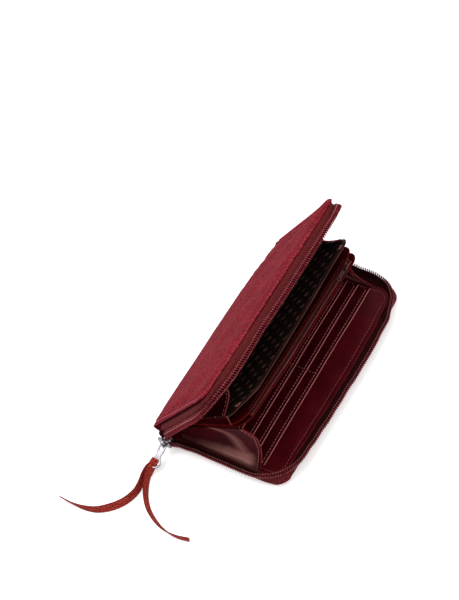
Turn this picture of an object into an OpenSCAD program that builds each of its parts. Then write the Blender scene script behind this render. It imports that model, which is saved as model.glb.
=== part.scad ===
// Long zip-around wallet, lying on its back cover with the front cover lifted.
// Origin: centre of the back cover's flat outer face. +X along the length, +Y towards the spine, +Z up.
// Every leaf turns about one line along X, at the spine, half-way up the closed thickness.

/* [Overall size] */
// length of the covers along X
body_l = 195; // [185:1:205]
// width of the covers from spine to free edge
body_w = 105; // [100:1:110]
// height of the hinge line, half of the closed thickness
half_t = 11; // [11:0.5:12]

/* [Rest pose] */
// opening of the front cover in degrees
open_front = 50.7; // [48:0.1:56]
// opening of the coin pocket leaf in degrees
open_coin = 31.6; // [30:0.1:32]
// opening of the slip pocket panel in degrees
open_slip = 37.3; // [37:0.1:38.5]

/* [Covers] */
// corner radius of the fabric covers
cover_r = 12.5; // [10:0.5:14]
// thickness of the padded fabric
cover_t = 1.6; // [1.4:0.1:1.6]
// corner radius of the zip where it goes round the covers
zip_r = 34; // [30:1:36]

/* [Card pockets] */
// distance between two pocket mouths
slot_pitch = 10; // [9:0.5:10]
// thickness of one pocket layer
slot_t = 0.5; // [0.4:0.05:0.5]
// width of a pocket layer along X
slot_l = 177.6; // [170:0.2:177.6]

/* [Coin pocket] */
// width of the coin pocket along X
coin_l = 176; // [166:1:176]
// reach of the coin pocket from the hinge line
coin_w = 88; // [86:0.5:88]
// corner radius of the coin pocket
coin_r = 14; // [10:1:16]

/* [Zip pull] */
// length of the pull tab
tab_len = 19; // [19:0.5:20]
// droop of the pull tab below level, in degrees
tab_droop = 17; // [16:0.5:17]
// width of the ribbon
ribbon_w = 7; // [6:0.5:7]

/* [Hidden] */
$fn = 48;
hl = body_l / 2;
hw = body_w / 2;

// heights of the cover's layers, measured from the outer face
z_board = cover_t;
z_lining = z_board + 0.8;
z_cards = z_lining + 0.8;
tape_out = 3.0;
tape_in = 2.2;
coil_out = 4.8;
coil_top = half_t - 0.6;
coil_low = coil_top - 4;
slider_y = hw - 2.75;
arch_x = -hl - 7.6;
tail_w = 12;

// a point of a leaf in the YZ plane: opening, distance from the hinge line, height over the parting plane
function leaf_point(a, w, z) = [hw - (w * cos(a) - z * sin(a)), half_t + w * sin(a) + z * cos(a)];

// a leaf drawn closed, turned open by a degrees
module leaf(a) {
  translate([0, hw, half_t]) rotate([-a, 0, 0]) translate([0, -hw, -half_t]) children();
}

// the back cover's parts turned over, for the front cover
module flip() {
  translate([0, 0, 2 * half_t]) mirror([0, 0, 1]) children();
}

// outline of a cover grown by o, square at the spine, rounded at the free edge
module plan(o, r, top) {
  union() {
    translate([-hl - o, -hw - o + r]) square([body_l + 2 * o, top + hw + o - r]);
    translate([-hl - o + r, -hw - o]) square([body_l + 2 * o - 2 * r, r + 1]);
    translate([-hl - o + r, -hw - o + r]) circle(r = r);
    translate([hl + o - r, -hw - o + r]) circle(r = r);
  }
}

module slab(z0, t) {
  translate([0, 0, z0]) linear_extrude(height = t) children();
}

module outer_panel() {
  slab(0, cover_t) plan(0, cover_r, hw);
}

module stiffener_board() {
  slab(z_board, 0.8) plan(-3.4, zip_r / 2, hw - 2);
}

module lining_panel() {
  slab(z_lining, 0.8) plan(-5, zip_r / 2 - 5, hw - 2);
}

module card_pocket(n) {
  y0 = -27 + (n - 1) * slot_pitch;
  slab(z_cards + 0.1 + (n - 1) * (slot_t + 0.1), slot_t)
    translate([-slot_l / 2, y0]) square([slot_l, 42 - y0]);
}

module zip_tape(end_y) {
  union() {
    slab(z_board, 0.6) difference() {
      union() {
        plan(tape_out, zip_r, end_y);
        plan(0, cover_r, end_y);
      }
      plan(-3.2, cover_r - 3, end_y + 1);
    }
    slab(z_board, half_t - 1 - z_board) difference() {
      plan(tape_out, zip_r, end_y);
      plan(tape_in, zip_r - 0.8, end_y + 1);
    }
  }
}

module zip_coil(end_y) {
  slab(coil_low, coil_top - coil_low) difference() {
    plan(coil_out, zip_r + coil_out - tape_out, end_y);
    plan(tape_out, zip_r, end_y + 1);
  }
}

module side_sheet(s, pts) {
  translate([s > 0 ? 89.2 : -90.2, 0, 0])
    rotate([90, 0, 90]) linear_extrude(height = 1) polygon(pts);
}

module back_gusset(s) {
  side_sheet(s, [[50, z_cards], [-27, z_cards], [-29, 30], [-30, 45], [-19, 51], [46, 13.5]]);
}

module front_gusset(s) {
  side_sheet(s, [leaf_point(open_slip, 8, 3.4), leaf_point(open_slip, 82, 3.4),
    leaf_point(open_front, 84, half_t - z_cards - 0.1), leaf_point(open_front, 10, half_t - z_cards - 0.1)]);
}

module slip_gusset(s) {
  side_sheet(s, [leaf_point(open_coin, 8, 1.8), leaf_point(open_coin, 80, 1.8),
    leaf_point(open_slip, 82, 3.2), leaf_point(open_slip, 8, 3.2)]);
}

// outline of a leaf that hangs from the hinge line: half width, near and far reach, corner radius
module leaf_plan(hx, w0, w1, r) {
  union() {
    translate([-hx, hw - w1 + r]) square([2 * hx, w1 - w0 - r]);
    translate([-hx + r, hw - w1]) square([2 * hx - 2 * r, r + 1]);
    translate([-hx + r, hw - w1 + r]) circle(r = r);
    translate([hx - r, hw - w1 + r]) circle(r = r);
  }
}

// ---- back cover ----

module back_outer_panel() { color([0.55, 0.14, 0.22]) outer_panel(); }

module back_stiffener_board() { color([0.45, 0.40, 0.34]) stiffener_board(); }

module back_lining_panel() { color([0.20, 0.03, 0.07]) lining_panel(); }

module back_card_pocket_1() { color([0.22, 0.03, 0.07]) card_pocket(1); }

module back_card_pocket_2() { color([0.24, 0.03, 0.08]) card_pocket(2); }

module back_card_pocket_3() { color([0.26, 0.04, 0.08]) card_pocket(3); }

module back_card_pocket_4() { color([0.28, 0.04, 0.09]) card_pocket(4); }

module back_zip_tape() { color([0.42, 0.20, 0.22]) zip_tape(hw - 2.5); }

module back_zip_coil() { color([0.35, 0.05, 0.09]) zip_coil(hw - 6.5); }

module zip_bottom_stop() {
  color([0.75, 0.75, 0.77])
    translate([hl + tape_out, hw - 6.3, coil_low - 0.4]) cube([2.2, 3, 4.8]);
}

module spine_lower_half() {
  color([0.50, 0.12, 0.20])
    translate([-hl, hw - 1.6, cover_t]) cube([body_l, 1.6, half_t - cover_t - 0.1]);
}

module near_back_gusset() { color([0.30, 0.04, 0.10]) back_gusset(-1); }

module far_back_gusset() { color([0.30, 0.04, 0.10]) back_gusset(1); }

// ---- front cover ----

module front_outer_panel() { color([0.58, 0.15, 0.24]) leaf(open_front) flip() outer_panel(); }

module front_stiffener_board() { color([0.45, 0.40, 0.34]) leaf(open_front) flip() stiffener_board(); }

module front_lining_panel() { color([0.20, 0.03, 0.07]) leaf(open_front) flip() lining_panel(); }

module front_card_pocket_1() { color([0.22, 0.03, 0.07]) leaf(open_front) flip() card_pocket(1); }

module front_card_pocket_2() { color([0.24, 0.03, 0.08]) leaf(open_front) flip() card_pocket(2); }

module front_card_pocket_3() { color([0.26, 0.04, 0.08]) leaf(open_front) flip() card_pocket(3); }

module front_card_pocket_4() { color([0.28, 0.04, 0.09]) leaf(open_front) flip() card_pocket(4); }

module front_zip_tape() { color([0.42, 0.20, 0.22]) leaf(open_front) flip() zip_tape(hw - tail_w); }

module front_zip_coil() { color([0.35, 0.05, 0.09]) leaf(open_front) flip() zip_coil(hw - tail_w); }

// the coil's last stretch, from the front cover down into the slider
module front_zip_tail() {
  a = leaf_point(open_front, tail_w - 0.1, 0.8);
  b = leaf_point(open_front, tail_w - 0.1, 4.4);
  color([0.35, 0.05, 0.09])
    translate([-hl - coil_out, 0, 0]) rotate([90, 0, 90])
      linear_extrude(height = 1.6) polygon([a, b, [hw - 2, half_t + 6.6], [hw - 6, half_t + 6.2]]);
}

module spine_upper_half() {
  color([0.50, 0.12, 0.20]) leaf(open_front) flip()
    translate([-hl, hw - 1.6, cover_t]) cube([body_l, 1.6, half_t - cover_t - 0.1]);
}

module near_front_gusset() { color([0.16, 0.04, 0.06]) front_gusset(-1); }

module far_front_gusset() { color([0.16, 0.04, 0.06]) front_gusset(1); }

// ---- coin pocket leaf ----

module coin_pocket_back_wall() {
  color([0.30, 0.05, 0.08]) leaf(open_coin)
    slab(half_t - 4.6, 0.8) leaf_plan(coin_l / 2, 6, coin_w, coin_r);
}

module coin_pocket_front_wall() {
  color([0.30, 0.05, 0.08]) leaf(open_coin)
    slab(half_t + 1.4, 0.8) leaf_plan(coin_l / 2, 6, coin_w, coin_r);
}

module coin_pocket_side_band() {
  color([0.24, 0.04, 0.08]) leaf(open_coin)
    slab(half_t - 3.8, 5.2) difference() {
      leaf_plan(coin_l / 2, 6, coin_w - 12, 4);
      leaf_plan(coin_l / 2 - 1.4, 7.4, coin_w - 4, 3);
    }
}

module coin_zip_tape_back() {
  color([0.45, 0.18, 0.16]) leaf(open_coin) union() {
    slab(half_t - 3.8, 0.5) translate([-coin_l / 2 + 14, hw - coin_w + 1.2]) square([coin_l - 28, 8]);
    slab(half_t - 3.8, 1.3) translate([-coin_l / 2 + 14, hw - coin_w + 1.8]) square([coin_l - 28, 0.7]);
  }
}

module coin_zip_tape_front() {
  color([0.45, 0.18, 0.16]) leaf(open_coin) union() {
    slab(half_t + 0.9, 0.5) translate([-coin_l / 2 + 14, hw - coin_w + 1.2]) square([coin_l - 28, 8]);
    slab(half_t + 0.1, 1.3) translate([-coin_l / 2 + 14, hw - coin_w + 1.8]) square([coin_l - 28, 0.7]);
  }
}

module coin_zip_coil_back() {
  color([0.36, 0.08, 0.09]) leaf(open_coin)
    slab(half_t - 2.5, 0.8) translate([-coin_l / 2 + 14, hw - coin_w + 1]) square([coin_l - 28, 2.2]);
}

module coin_zip_coil_front() {
  color([0.36, 0.08, 0.09]) leaf(open_coin)
    slab(half_t - 0.7, 0.8) translate([-coin_l / 2 + 14, hw - coin_w + 1]) square([coin_l - 28, 2.2]);
}

module coin_zip_end_stops() {
  color([0.75, 0.75, 0.77]) leaf(open_coin)
    for (s = [-1, 1])
      slab(half_t - 2.8, 3.2)
        translate([s * (coin_l / 2 - 13.2) - 0.7, hw - coin_w + 0.8]) square([1.4, 2.6]);
}

module near_slip_gusset() { color([0.12, 0.08, 0.07]) slip_gusset(-1); }

module far_slip_gusset() { color([0.12, 0.08, 0.07]) slip_gusset(1); }

// ---- slip pocket panel ----

module slip_pocket_panel() {
  color([0.10, 0.08, 0.06]) leaf(open_slip)
    slab(half_t + 2.8, 0.8) leaf_plan(coin_l / 2 - 2, 6, coin_w + 0.5, 9);
}

module slip_pocket_piping() {
  color([0.36, 0.14, 0.12]) leaf(open_slip)
    slab(half_t + 2.5, 1.4) translate([-coin_l / 2 + 11.2, hw - coin_w - 1.9]) square([coin_l - 22.4, 1.4]);
}

module slip_pocket_bartacks() {
  color([0.60, 0.35, 0.30]) leaf(open_slip)
    for (s = [-1, 1])
      slab(half_t + 3.6, 0.4) translate([s * 74 - 2.5, hw - coin_w + 1.5]) square([5, 1.6]);
}

// ---- coin zip slider and its pull ----

module coin_zip_slider() {
  color([0.80, 0.80, 0.82]) leaf(open_coin) translate([62, hw - coin_w, half_t - 1.2]) union() {
    translate([0, -0.9, -1.8]) cube([9, 0.7, 3.6]);
    translate([0, 3.8, -1.6]) cube([9, 0.7, 3.2]);
    translate([8, -0.3, -0.3]) cube([1, 4.2, 0.6]);
    translate([2.0, -2.9, -1.2]) cube([0.8, 2.1, 2.4]);
    translate([5.6, -2.9, -1.2]) cube([0.8, 2.1, 2.4]);
    translate([2.0, -3.6, -1.2]) cube([4.4, 0.8, 2.4]);
  }
}

module coin_zip_pull() {
  color([0.80, 0.80, 0.82]) leaf(open_coin) translate([66.2, hw - coin_w, half_t - 1.2])
    difference() {
      translate([-14, -2.4, -2.3]) cube([15.1, 0.9, 4.6]);
      translate([-3.9, -3, -1.5]) cube([4.3, 3, 3]);
      translate([-11, 0, 0]) rotate([90, 0, 0]) cylinder(r = 1.1, h = 6, center = true);
    }
}

// ---- main slider, pull tab and ribbon ----

module zip_slider_body() {
  color([0.82, 0.82, 0.84]) translate([0, slider_y, half_t]) union() {
    translate([-hl - 6.5, -5.25, -5.5]) cube([1.2, 10.5, 11]);
    translate([-hl - 1.7, -5.25, -4.5]) cube([1, 10.5, 9]);
    translate([-hl - 6, 3.6, -0.4]) cube([4.5, 1.6, 0.8]);
    translate([-hl - 5.4, -5.25, -5.5]) cube([0.8, 10.5, 0.5]);
    translate([-hl - 5.4, -5.25, 5]) cube([0.8, 10.5, 0.5]);
  }
}

module zip_slider_arch() {
  color([0.84, 0.84, 0.86]) translate([arch_x, slider_y, half_t]) union() {
    translate([-2.3, -1.1, -4.2]) cube([1.2, 2.2, 8.4]);
    translate([-2.3, -1.1, -4.2]) cube([3.4, 2.2, 1.2]);
    translate([-2.3, -1.1, 3.0]) cube([3.4, 2.2, 1.2]);
  }
}

module zip_pull_tab() {
  color([0.84, 0.84, 0.86]) translate([arch_x, slider_y, half_t]) rotate([0, -tab_droop, 0])
    difference() {
      union() {
        translate([-tab_len + 4.5, -3.1, -0.5]) cube([tab_len - 3.9, 6.2, 1]);
        translate([-tab_len + 4.75, 0, 0]) cylinder(r = 4.75, h = 1, center = true);
      }
      translate([-5.2, -1.7, -2]) cube([4.6, 3.4, 4]);
      translate([-tab_len + 4.4, 0, 0]) union() {
        translate([-1.4, -3, -2]) cube([2.8, 6, 4]);
        translate([-1.0, 0, 0]) cylinder(r = 2.4, h = 4, center = true);
      }
    }
}

// ribbon: stations of [x, y, z, roll in degrees from flat to standing, width]
left_route = [[-119.6, 50.2, 6.75, 0, 5.4], [-122.6, 50.4, 7.2, 4, 5.4], [-125.4, 51.4, 6.7, 20, 6], [-128.4, 52.6, 5.6, 45, 7],
  [-133, 52.6, 4.3, 80, 7], [-140, 51.2, 3.9, 90, 7], [-147, 51, 3.8, 90, 7], [-152.5, 52.4, 3.8, 90, 7],
  [-158.5, 55.5, 3.8, 90, 7], [-163, 59.5, 3.8, 90, 7], [-167, 65, 3.8, 90, 7], [-170, 72, 3.8, 90, 7],
  [-172, 80, 3.8, 90, 7], [-173.4, 88, 3.8, 90, 7], [-174, 96, 3.8, 90, 7], [-174, 104, 3.8, 90, 7]];
right_route = [[-119.6, 50.2, 5.75, 0, 5.4], [-122.6, 49.8, 4.7, 4, 5.4], [-125.4, 49.4, 4.2, 20, 6], [-128.4, 48.8, 4.2, 45, 7],
  [-133, 47.6, 4.0, 80, 7], [-138.5, 45.4, 3.8, 90, 7], [-144.5, 41.8, 3.8, 90, 7], [-149.5, 37.5, 3.8, 90, 7],
  [-153.5, 32.5, 3.8, 90, 7], [-157.5, 26, 3.8, 90, 7], [-160.5, 19, 3.8, 90, 7], [-162.5, 11, 3.8, 90, 7],
  [-163, 4, 3.8, 90, 7], [-162.3, -2, 3.8, 90, 7], [-161, -8, 3.8, 90, 7]];

function unit(v) = v / norm(v);
function heading(p, i) = unit([for (k = [0:2]) p[min(i + 1, len(p) - 1)][k] - p[max(i - 1, 0)][k]]);
function across(t, r) = let (s = unit(cross([0, 0, 1], t)), u = cross(t, s)) -s * cos(r) + u * sin(r);
function station(p, i) = let (c = [p[i][0], p[i][1], p[i][2]], t = heading(p, i), w = across(t, p[i][3]),
  n = cross(t, w), a = w * p[i][4] / 14 * ribbon_w, b = n * 0.5) [c + a + b, c - a + b, c - a - b, c + a - b];

module ribbon(p) {
  n = len(p);
  polyhedron(
    points = [for (i = [0:n - 1]) for (q = station(p, i)) q],
    faces = concat(
      [[0, 1, 2, 3]],
      [for (i = [0:n - 2]) for (k = [0:3]) [4 * i + k, 4 * i + 4 + k, 4 * i + (k + 1) % 4]],
      [for (i = [0:n - 2]) for (k = [0:3]) [4 * i + 4 + k, 4 * i + 4 + (k + 1) % 4, 4 * i + (k + 1) % 4]],
      [[4 * n - 1, 4 * n - 2, 4 * n - 3, 4 * n - 4]]));
}

module ribbon_tail_left() { color([0.60, 0.20, 0.18]) ribbon(left_route); }

module ribbon_tail_right() { color([0.60, 0.20, 0.18]) ribbon(right_route); }

back_outer_panel();
back_stiffener_board();
back_lining_panel();
back_card_pocket_1();
back_card_pocket_2();
back_card_pocket_3();
back_card_pocket_4();
back_zip_tape();
back_zip_coil();
zip_bottom_stop();
spine_lower_half();
near_back_gusset();
far_back_gusset();
front_outer_panel();
front_stiffener_board();
front_lining_panel();
front_card_pocket_1();
front_card_pocket_2();
front_card_pocket_3();
front_card_pocket_4();
front_zip_tape();
front_zip_coil();
front_zip_tail();
spine_upper_half();
near_front_gusset();
far_front_gusset();
coin_pocket_back_wall();
coin_pocket_front_wall();
coin_pocket_side_band();
coin_zip_tape_back();
coin_zip_tape_front();
coin_zip_coil_back();
coin_zip_coil_front();
coin_zip_end_stops();
near_slip_gusset();
far_slip_gusset();
slip_pocket_panel();
slip_pocket_piping();
slip_pocket_bartacks();
coin_zip_slider();
coin_zip_pull();
zip_slider_body();
zip_slider_arch();
zip_pull_tab();
ribbon_tail_left();
ribbon_tail_right();
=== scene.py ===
import math

import bmesh
import bpy
import numpy as np
from mathutils import Matrix, Vector


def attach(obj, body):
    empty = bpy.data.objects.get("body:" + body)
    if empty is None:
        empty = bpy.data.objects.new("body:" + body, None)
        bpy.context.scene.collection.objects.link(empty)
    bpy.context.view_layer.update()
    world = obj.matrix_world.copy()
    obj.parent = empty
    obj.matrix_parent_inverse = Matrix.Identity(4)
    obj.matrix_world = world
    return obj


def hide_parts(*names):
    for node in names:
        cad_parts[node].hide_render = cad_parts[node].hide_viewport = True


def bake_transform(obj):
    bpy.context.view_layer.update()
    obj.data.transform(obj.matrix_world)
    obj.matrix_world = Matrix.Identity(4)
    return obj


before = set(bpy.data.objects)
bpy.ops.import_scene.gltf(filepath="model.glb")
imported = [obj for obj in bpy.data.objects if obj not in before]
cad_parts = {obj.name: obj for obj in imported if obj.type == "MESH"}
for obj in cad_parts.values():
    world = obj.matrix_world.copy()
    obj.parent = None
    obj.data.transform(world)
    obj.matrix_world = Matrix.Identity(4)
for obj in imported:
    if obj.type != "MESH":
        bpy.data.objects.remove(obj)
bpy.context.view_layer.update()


# ------------------------------------------------------------------ sizes, mm, closed wallet
HL, HW, HT = 97.5, 52.5, 11.0
OPEN_F, OPEN_C, OPEN_S = 50.7, 31.6, 37.3
rng = np.random.default_rng(7)


def leaf(V, a):
    """closed-state mm -> rest mm for a leaf opened by a degrees"""
    V = np.asarray(V, float)
    r = math.radians(a)
    y, z = V[:, 1] - HW, V[:, 2] - HT
    return np.stack([V[:, 0], HW + y * math.cos(r) + z * math.sin(r), HT - y * math.sin(r) + z * math.cos(r)], 1)


def fold(V, a):
    """as leaf, with one angle per point"""
    V = np.asarray(V, float)
    r = np.radians(a)
    y, z = V[:, 1] - HW, V[:, 2] - HT
    return np.stack([V[:, 0], HW + y * np.cos(r) + z * np.sin(r), HT - y * np.sin(r) + z * np.cos(r)], 1)


def waves(x, y, n, lo, hi, seed):
    """smooth seeded ripples of about unit height, wavelengths lo..hi mm"""
    g = np.random.default_rng(seed)
    out = np.zeros_like(np.asarray(x, float))
    for _ in range(n):
        k = 2 * math.pi / g.uniform(lo, hi)
        t = g.uniform(0, 2 * math.pi)
        out = out + np.sin(k * (np.cos(t) * x + np.sin(t) * y) + g.uniform(0, 6.28))
    return out / math.sqrt(n / 2)


def smooth(t):
    t = np.clip(t, 0, 1)
    return t * t * (3 - 2 * t)


def around(x, y, rows):
    """value given round the U of a cover, blended by distance. rows: (x, y, dx, dy, dz)"""
    r = np.array(rows, float)
    d2 = (np.asarray(x)[..., None] - r[:, 0]) ** 2 + (np.asarray(y)[..., None] - r[:, 1]) ** 2
    w = 1 / (d2 + 40.0) ** 2
    w /= w.sum(-1)[..., None]
    return np.stack([(w * r[:, 2 + k]).sum(-1) for k in range(3)], -1)


# how far the soft rims have moved from the true outline: near side, near corner, free edge, far corner, far side
BACK_COIL = [(-100, 52, 0, 0, 0), (-100, 47, 0.2, 0, 0.1), (-100, 38, 1.6, 0, 0.8), (-100, 22, 2.2, 0, 1.2), (-100, 0, 2.2, 0, 1.2), (-100, -20, 2.0, 0.3, 1.6), (-98, -36, 1.9, 1.0, 2.6), (-92, -45, 1.8, 1.6, 2.6),
             (-85, -51, 1.4, 2.4, 2.6), (-74, -54, 0.4, 3.0, 2.2), (-65, -55, 0, 3.1, 1.6), (-52, -55, 0, 2.4, 0.7), (-30, -55, 0, 1.6, 0.7), (-12, -55, 0, 1.0, 0.5), (12, -55, 0, 0.2, 0.1), (34, -55, 0, 0, 0.1),
             (58, -55, 0, 0.7, 0.5), (76, -54, -1.2, 2.8, 1.0), (88, -48, -1.4, 1.6, 0.7), (95, -41, -1.3, 0.8, 0.3), (100, -31, -1.9, 0.3, 0.0), (101, -17, -1.3, 0, -0.4), (101, -4, -0.3, 0, 0), (101, 20, 0, 0, 0), (101, 50, 0, 0, 0)]
BACK_RIM = [(-97, 52, 0, 0, 0), (-97, 40, 0.5, 0, 0.5), (-97, 20, 1.0, 0, 1.0), (-97, -5, 1.1, 0, 1.1), (-97, -28, 1.0, 0.2, 1.3), (-96, -42, 1.0, 1.0, 2.0), (-92, -49, 1.1, 1.9, 2.5), (-80, -52, 0.4, 3.2, 2.5), (-66, -52, 0, 3.4, 1.6),
            (-50, -52, 0, 2.4, 0.9), (-15, -52, 0, 1.3, 0.7), (15, -52, 0, 0.6, 0.4), (50, -52, 0, 0.9, 0.6), (76, -52, -0.8, 2.2, 1.0), (92, -48, -1.2, 1.5, 0.8), (97, -30, -1.2, 0.3, 0.5), (97, 0, -0.2, 0, 0.2), (97, 50, 0, 0, 0)]


def back_shape(P, d=0.0, up=None):
    """move back-cover points: d is how far in from the rim, up the share of the coil's own movement"""
    x, y = P[..., 0], P[..., 1]
    k = 1 - smooth(np.asarray(d, float) / 24)
    move = around(x, y, BACK_RIM)
    if up is not None:
        move = move * (1 - up[..., None]) + around(x, y, BACK_COIL) * up[..., None]
    keep = smooth((HW - 1.0 - y) / 10.0)
    return P + move * (k * keep)[..., None]


def spine_swell(x):
    """how far the front cover's spine side stands out"""
    return np.interp(x, [-98, -80, -56, -30, 0, 32, 51, 79, 98], [2.0, 3.4, 3.5, 3.3, 3.0, 2.3, 1.5, 0.5, 0.0])


# ------------------------------------------------------------------ mesh building
class Build:
    def __init__(self):
        self.V, self.F, self.UV, self.n = [], [], [], 0

    def add(self, V, F, UV=None):
        V = np.asarray(V, float)
        self.V.append(V)
        self.F.extend([tuple(int(i) + self.n for i in f) for f in F])
        self.UV.append(np.zeros((len(V), 2)) if UV is None else np.asarray(UV, float))
        self.n += len(V)

    def data(self):
        return np.concatenate(self.V), self.F, np.concatenate(self.UV)


def quads(a, b, close_a=False, close_b=False, flip=False):
    i = np.arange(a if close_a else a - 1)[:, None]
    j = np.arange(b if close_b else b - 1)[None, :]
    i2, j2 = (i + 1) % a, (j + 1) % b
    q = np.stack([i * b + j + 0 * i, i * b + j2, i2 * b + j2, i2 * b + j + 0 * j], -1).reshape(-1, 4)
    return (q[:, ::-1] if flip else q).tolist()


def mesh(name, V, F, UV, mat, angle=50, smooth=True):
    me = bpy.data.meshes.new(name)
    me.from_pydata((np.asarray(V) / 1000).tolist(), [], F)
    me.validate()
    uv = me.uv_layers.new(name="UVMap")
    li = np.zeros(len(me.loops), np.int32)
    me.loops.foreach_get("vertex_index", li)
    uv.data.foreach_set("uv", np.asarray(UV, np.float32)[li].ravel())
    for m in mat if isinstance(mat, (list, tuple)) else [mat]:
        me.materials.append(m)
    bm = bmesh.new()
    bm.from_mesh(me)
    bmesh.ops.recalc_face_normals(bm, faces=bm.faces)
    bm.to_mesh(me)
    bm.free()
    if smooth:
        me.shade_smooth()
        me.set_sharp_from_angle(angle=math.radians(angle))
    ob = bpy.data.objects.new(name, me)
    bpy.context.scene.collection.objects.link(ob)
    return ob


def weights(ob, w, a, b):
    """bakes ob's world transform into its mesh and returns it; w, a and b are not used"""
    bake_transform(ob)
    return ob


def upath(hx, yf, ye, r, ns=26, nc=22, nb=60):
    """U round three sides: near side, near free corner, free edge, far corner, far side. Returns its points."""
    hx, r = max(hx, 0.02), max(min(r, hx - 0.01, ye - yf - 0.01), 0.005)
    s = np.linspace(0, 1, ns, endpoint=False)
    side = np.stack([np.full(ns, -hx), ye + (yf + r - ye) * s], 1)
    t = np.linspace(math.pi, 1.5 * math.pi, nc, endpoint=False)
    c1 = np.stack([-hx + r + r * np.cos(t), yf + r + r * np.sin(t)], 1)
    b = np.linspace(0, 1, nb, endpoint=False)
    bot = np.stack([(-hx + r) + (2 * hx - 2 * r) * b, np.full(nb, yf)], 1)
    t = np.linspace(1.5 * math.pi, 2 * math.pi, nc, endpoint=False)
    c2 = np.stack([hx - r + r * np.cos(t), yf + r + r * np.sin(t)], 1)
    s = np.linspace(0, 1, ns)
    side2 = np.stack([np.full(ns, hx), (yf + r) + (ye - yf - r) * s], 1)
    return np.concatenate([side, c1, bot, c2, side2])


def u_sheet(prof, hx=HL, yf=-HW, ye=HW, warp=None, loop=False, n=(26, 22, 60)):
    """prof rows are (inset, height, corner radius). A ring of the profile at every point of the U."""
    rings = []
    for d, z, r in prof:
        p = upath(hx - d, yf + d, ye, r, *n)
        rings.append(np.column_stack([p, np.full(len(p), z)]))
    P = np.stack(rings)
    if warp is not None:
        P = warp(P, np.array([q[0] for q in prof]))
    a, b = P.shape[:2]
    seg = np.linalg.norm(np.diff(P[0], axis=0), axis=1)
    s = np.concatenate([[0], np.cumsum(seg)])
    return P.reshape(-1, 3), quads(a, b, close_a=loop), a, b, s


def resample(P, step=None, count=None):
    P = np.asarray(P, float)
    seg = np.linalg.norm(np.diff(P, axis=0), axis=1)
    s = np.concatenate([[0], np.cumsum(seg)])
    n = count or max(2, int(round(s[-1] / step)) + 1)
    t = np.linspace(0, s[-1], n)
    return np.stack([np.interp(t, s, P[:, k]) for k in range(P.shape[1])], 1), t


def dense_u(hx, yf, ye, r, step=0.25):
    p = upath(hx, yf, ye, r, 120, 160, 300)
    q, s = resample(p, step=step)
    t = np.gradient(q, axis=0)
    t /= np.linalg.norm(t, axis=1)[:, None]
    n = np.stack([t[:, 1], -t[:, 0]], 1)  # outward for this direction of travel
    n *= np.where((n * (q - np.array([0, 20]))).sum(1) < 0, -1, 1)[:, None]
    return q, n, t, s


def tube(P, radius, sides=8, up=None, cap=True):
    """round tube along points; radius may be one number or one per point"""
    P = np.asarray(P, float)
    T = np.gradient(P, axis=0)
    T /= np.linalg.norm(T, axis=1)[:, None] + 1e-12
    U = np.tile(np.array(up if up is not None else (0.13, 0.22, 0.97), float), (len(P), 1)) if np.ndim(up) < 2 or up is None else np.asarray(up, float)
    A = np.cross(T, U)
    A /= np.linalg.norm(A, axis=1)[:, None] + 1e-12
    B = np.cross(A, T)
    R = np.broadcast_to(np.asarray(radius, float), (len(P),))
    t = np.linspace(0, 2 * math.pi, sides, endpoint=False)
    V = P[:, None, :] + R[:, None, None] * (np.cos(t)[None, :, None] * A[:, None, :] + np.sin(t)[None, :, None] * B[:, None, :])
    F = quads(len(P), sides, close_b=True)
    if cap:
        F.append(list(range(sides))[::-1])
        F.append([(len(P) - 1) * sides + k for k in range(sides)])
    s = np.concatenate([[0], np.cumsum(np.linalg.norm(np.diff(P, axis=0), axis=1))])
    UV = np.stack([np.repeat(s, sides), np.tile(t * R.mean(), len(P))], 1)
    return V.reshape(-1, 3), F, UV


def stitches(build, P, N, pitch=3.0, length=2.3, rad=0.26, sink=0.22, jitter=0.12, seed=3):
    """thread lying along points P, standing off by normals N"""
    P, N = np.asarray(P, float), np.asarray(N, float)
    g = np.random.default_rng(seed)
    seg = np.linalg.norm(np.diff(P, axis=0), axis=1)
    s = np.concatenate([[0], np.cumsum(seg)])
    m = int(s[-1] // pitch)
    for k in range(m):
        c = (k + 0.5) * pitch
        L = length * (1 + g.uniform(-jitter, jitter) * 0.5)
        t = np.linspace(c - L / 2, c + L / 2, 6)
        p = np.stack([np.interp(t, s, P[:, q]) for q in range(3)], 1)
        nn = np.stack([np.interp(t, s, N[:, q]) for q in range(3)], 1)
        arch = np.array([-1.0, 0.25, 0.8, 0.8, 0.25, -1.0]) * sink
        p = p + nn * arch[:, None]
        build.add(*tube(p, np.array([0.6, 1, 1.08, 1.08, 1, 0.6]) * rad, 6, up=nn))


def flipz(V):
    V = np.array(V, float)
    V[:, 2] = 2 * HT - V[:, 2]
    return V


# ------------------------------------------------------------------ materials
def srgb(r, g, b):
    f = lambda c: (c / 255 / 12.92) if c <= 10.3 else (((c / 255) + 0.055) / 1.055) ** 2.4
    return (f(r), f(g), f(b), 1)


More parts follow.
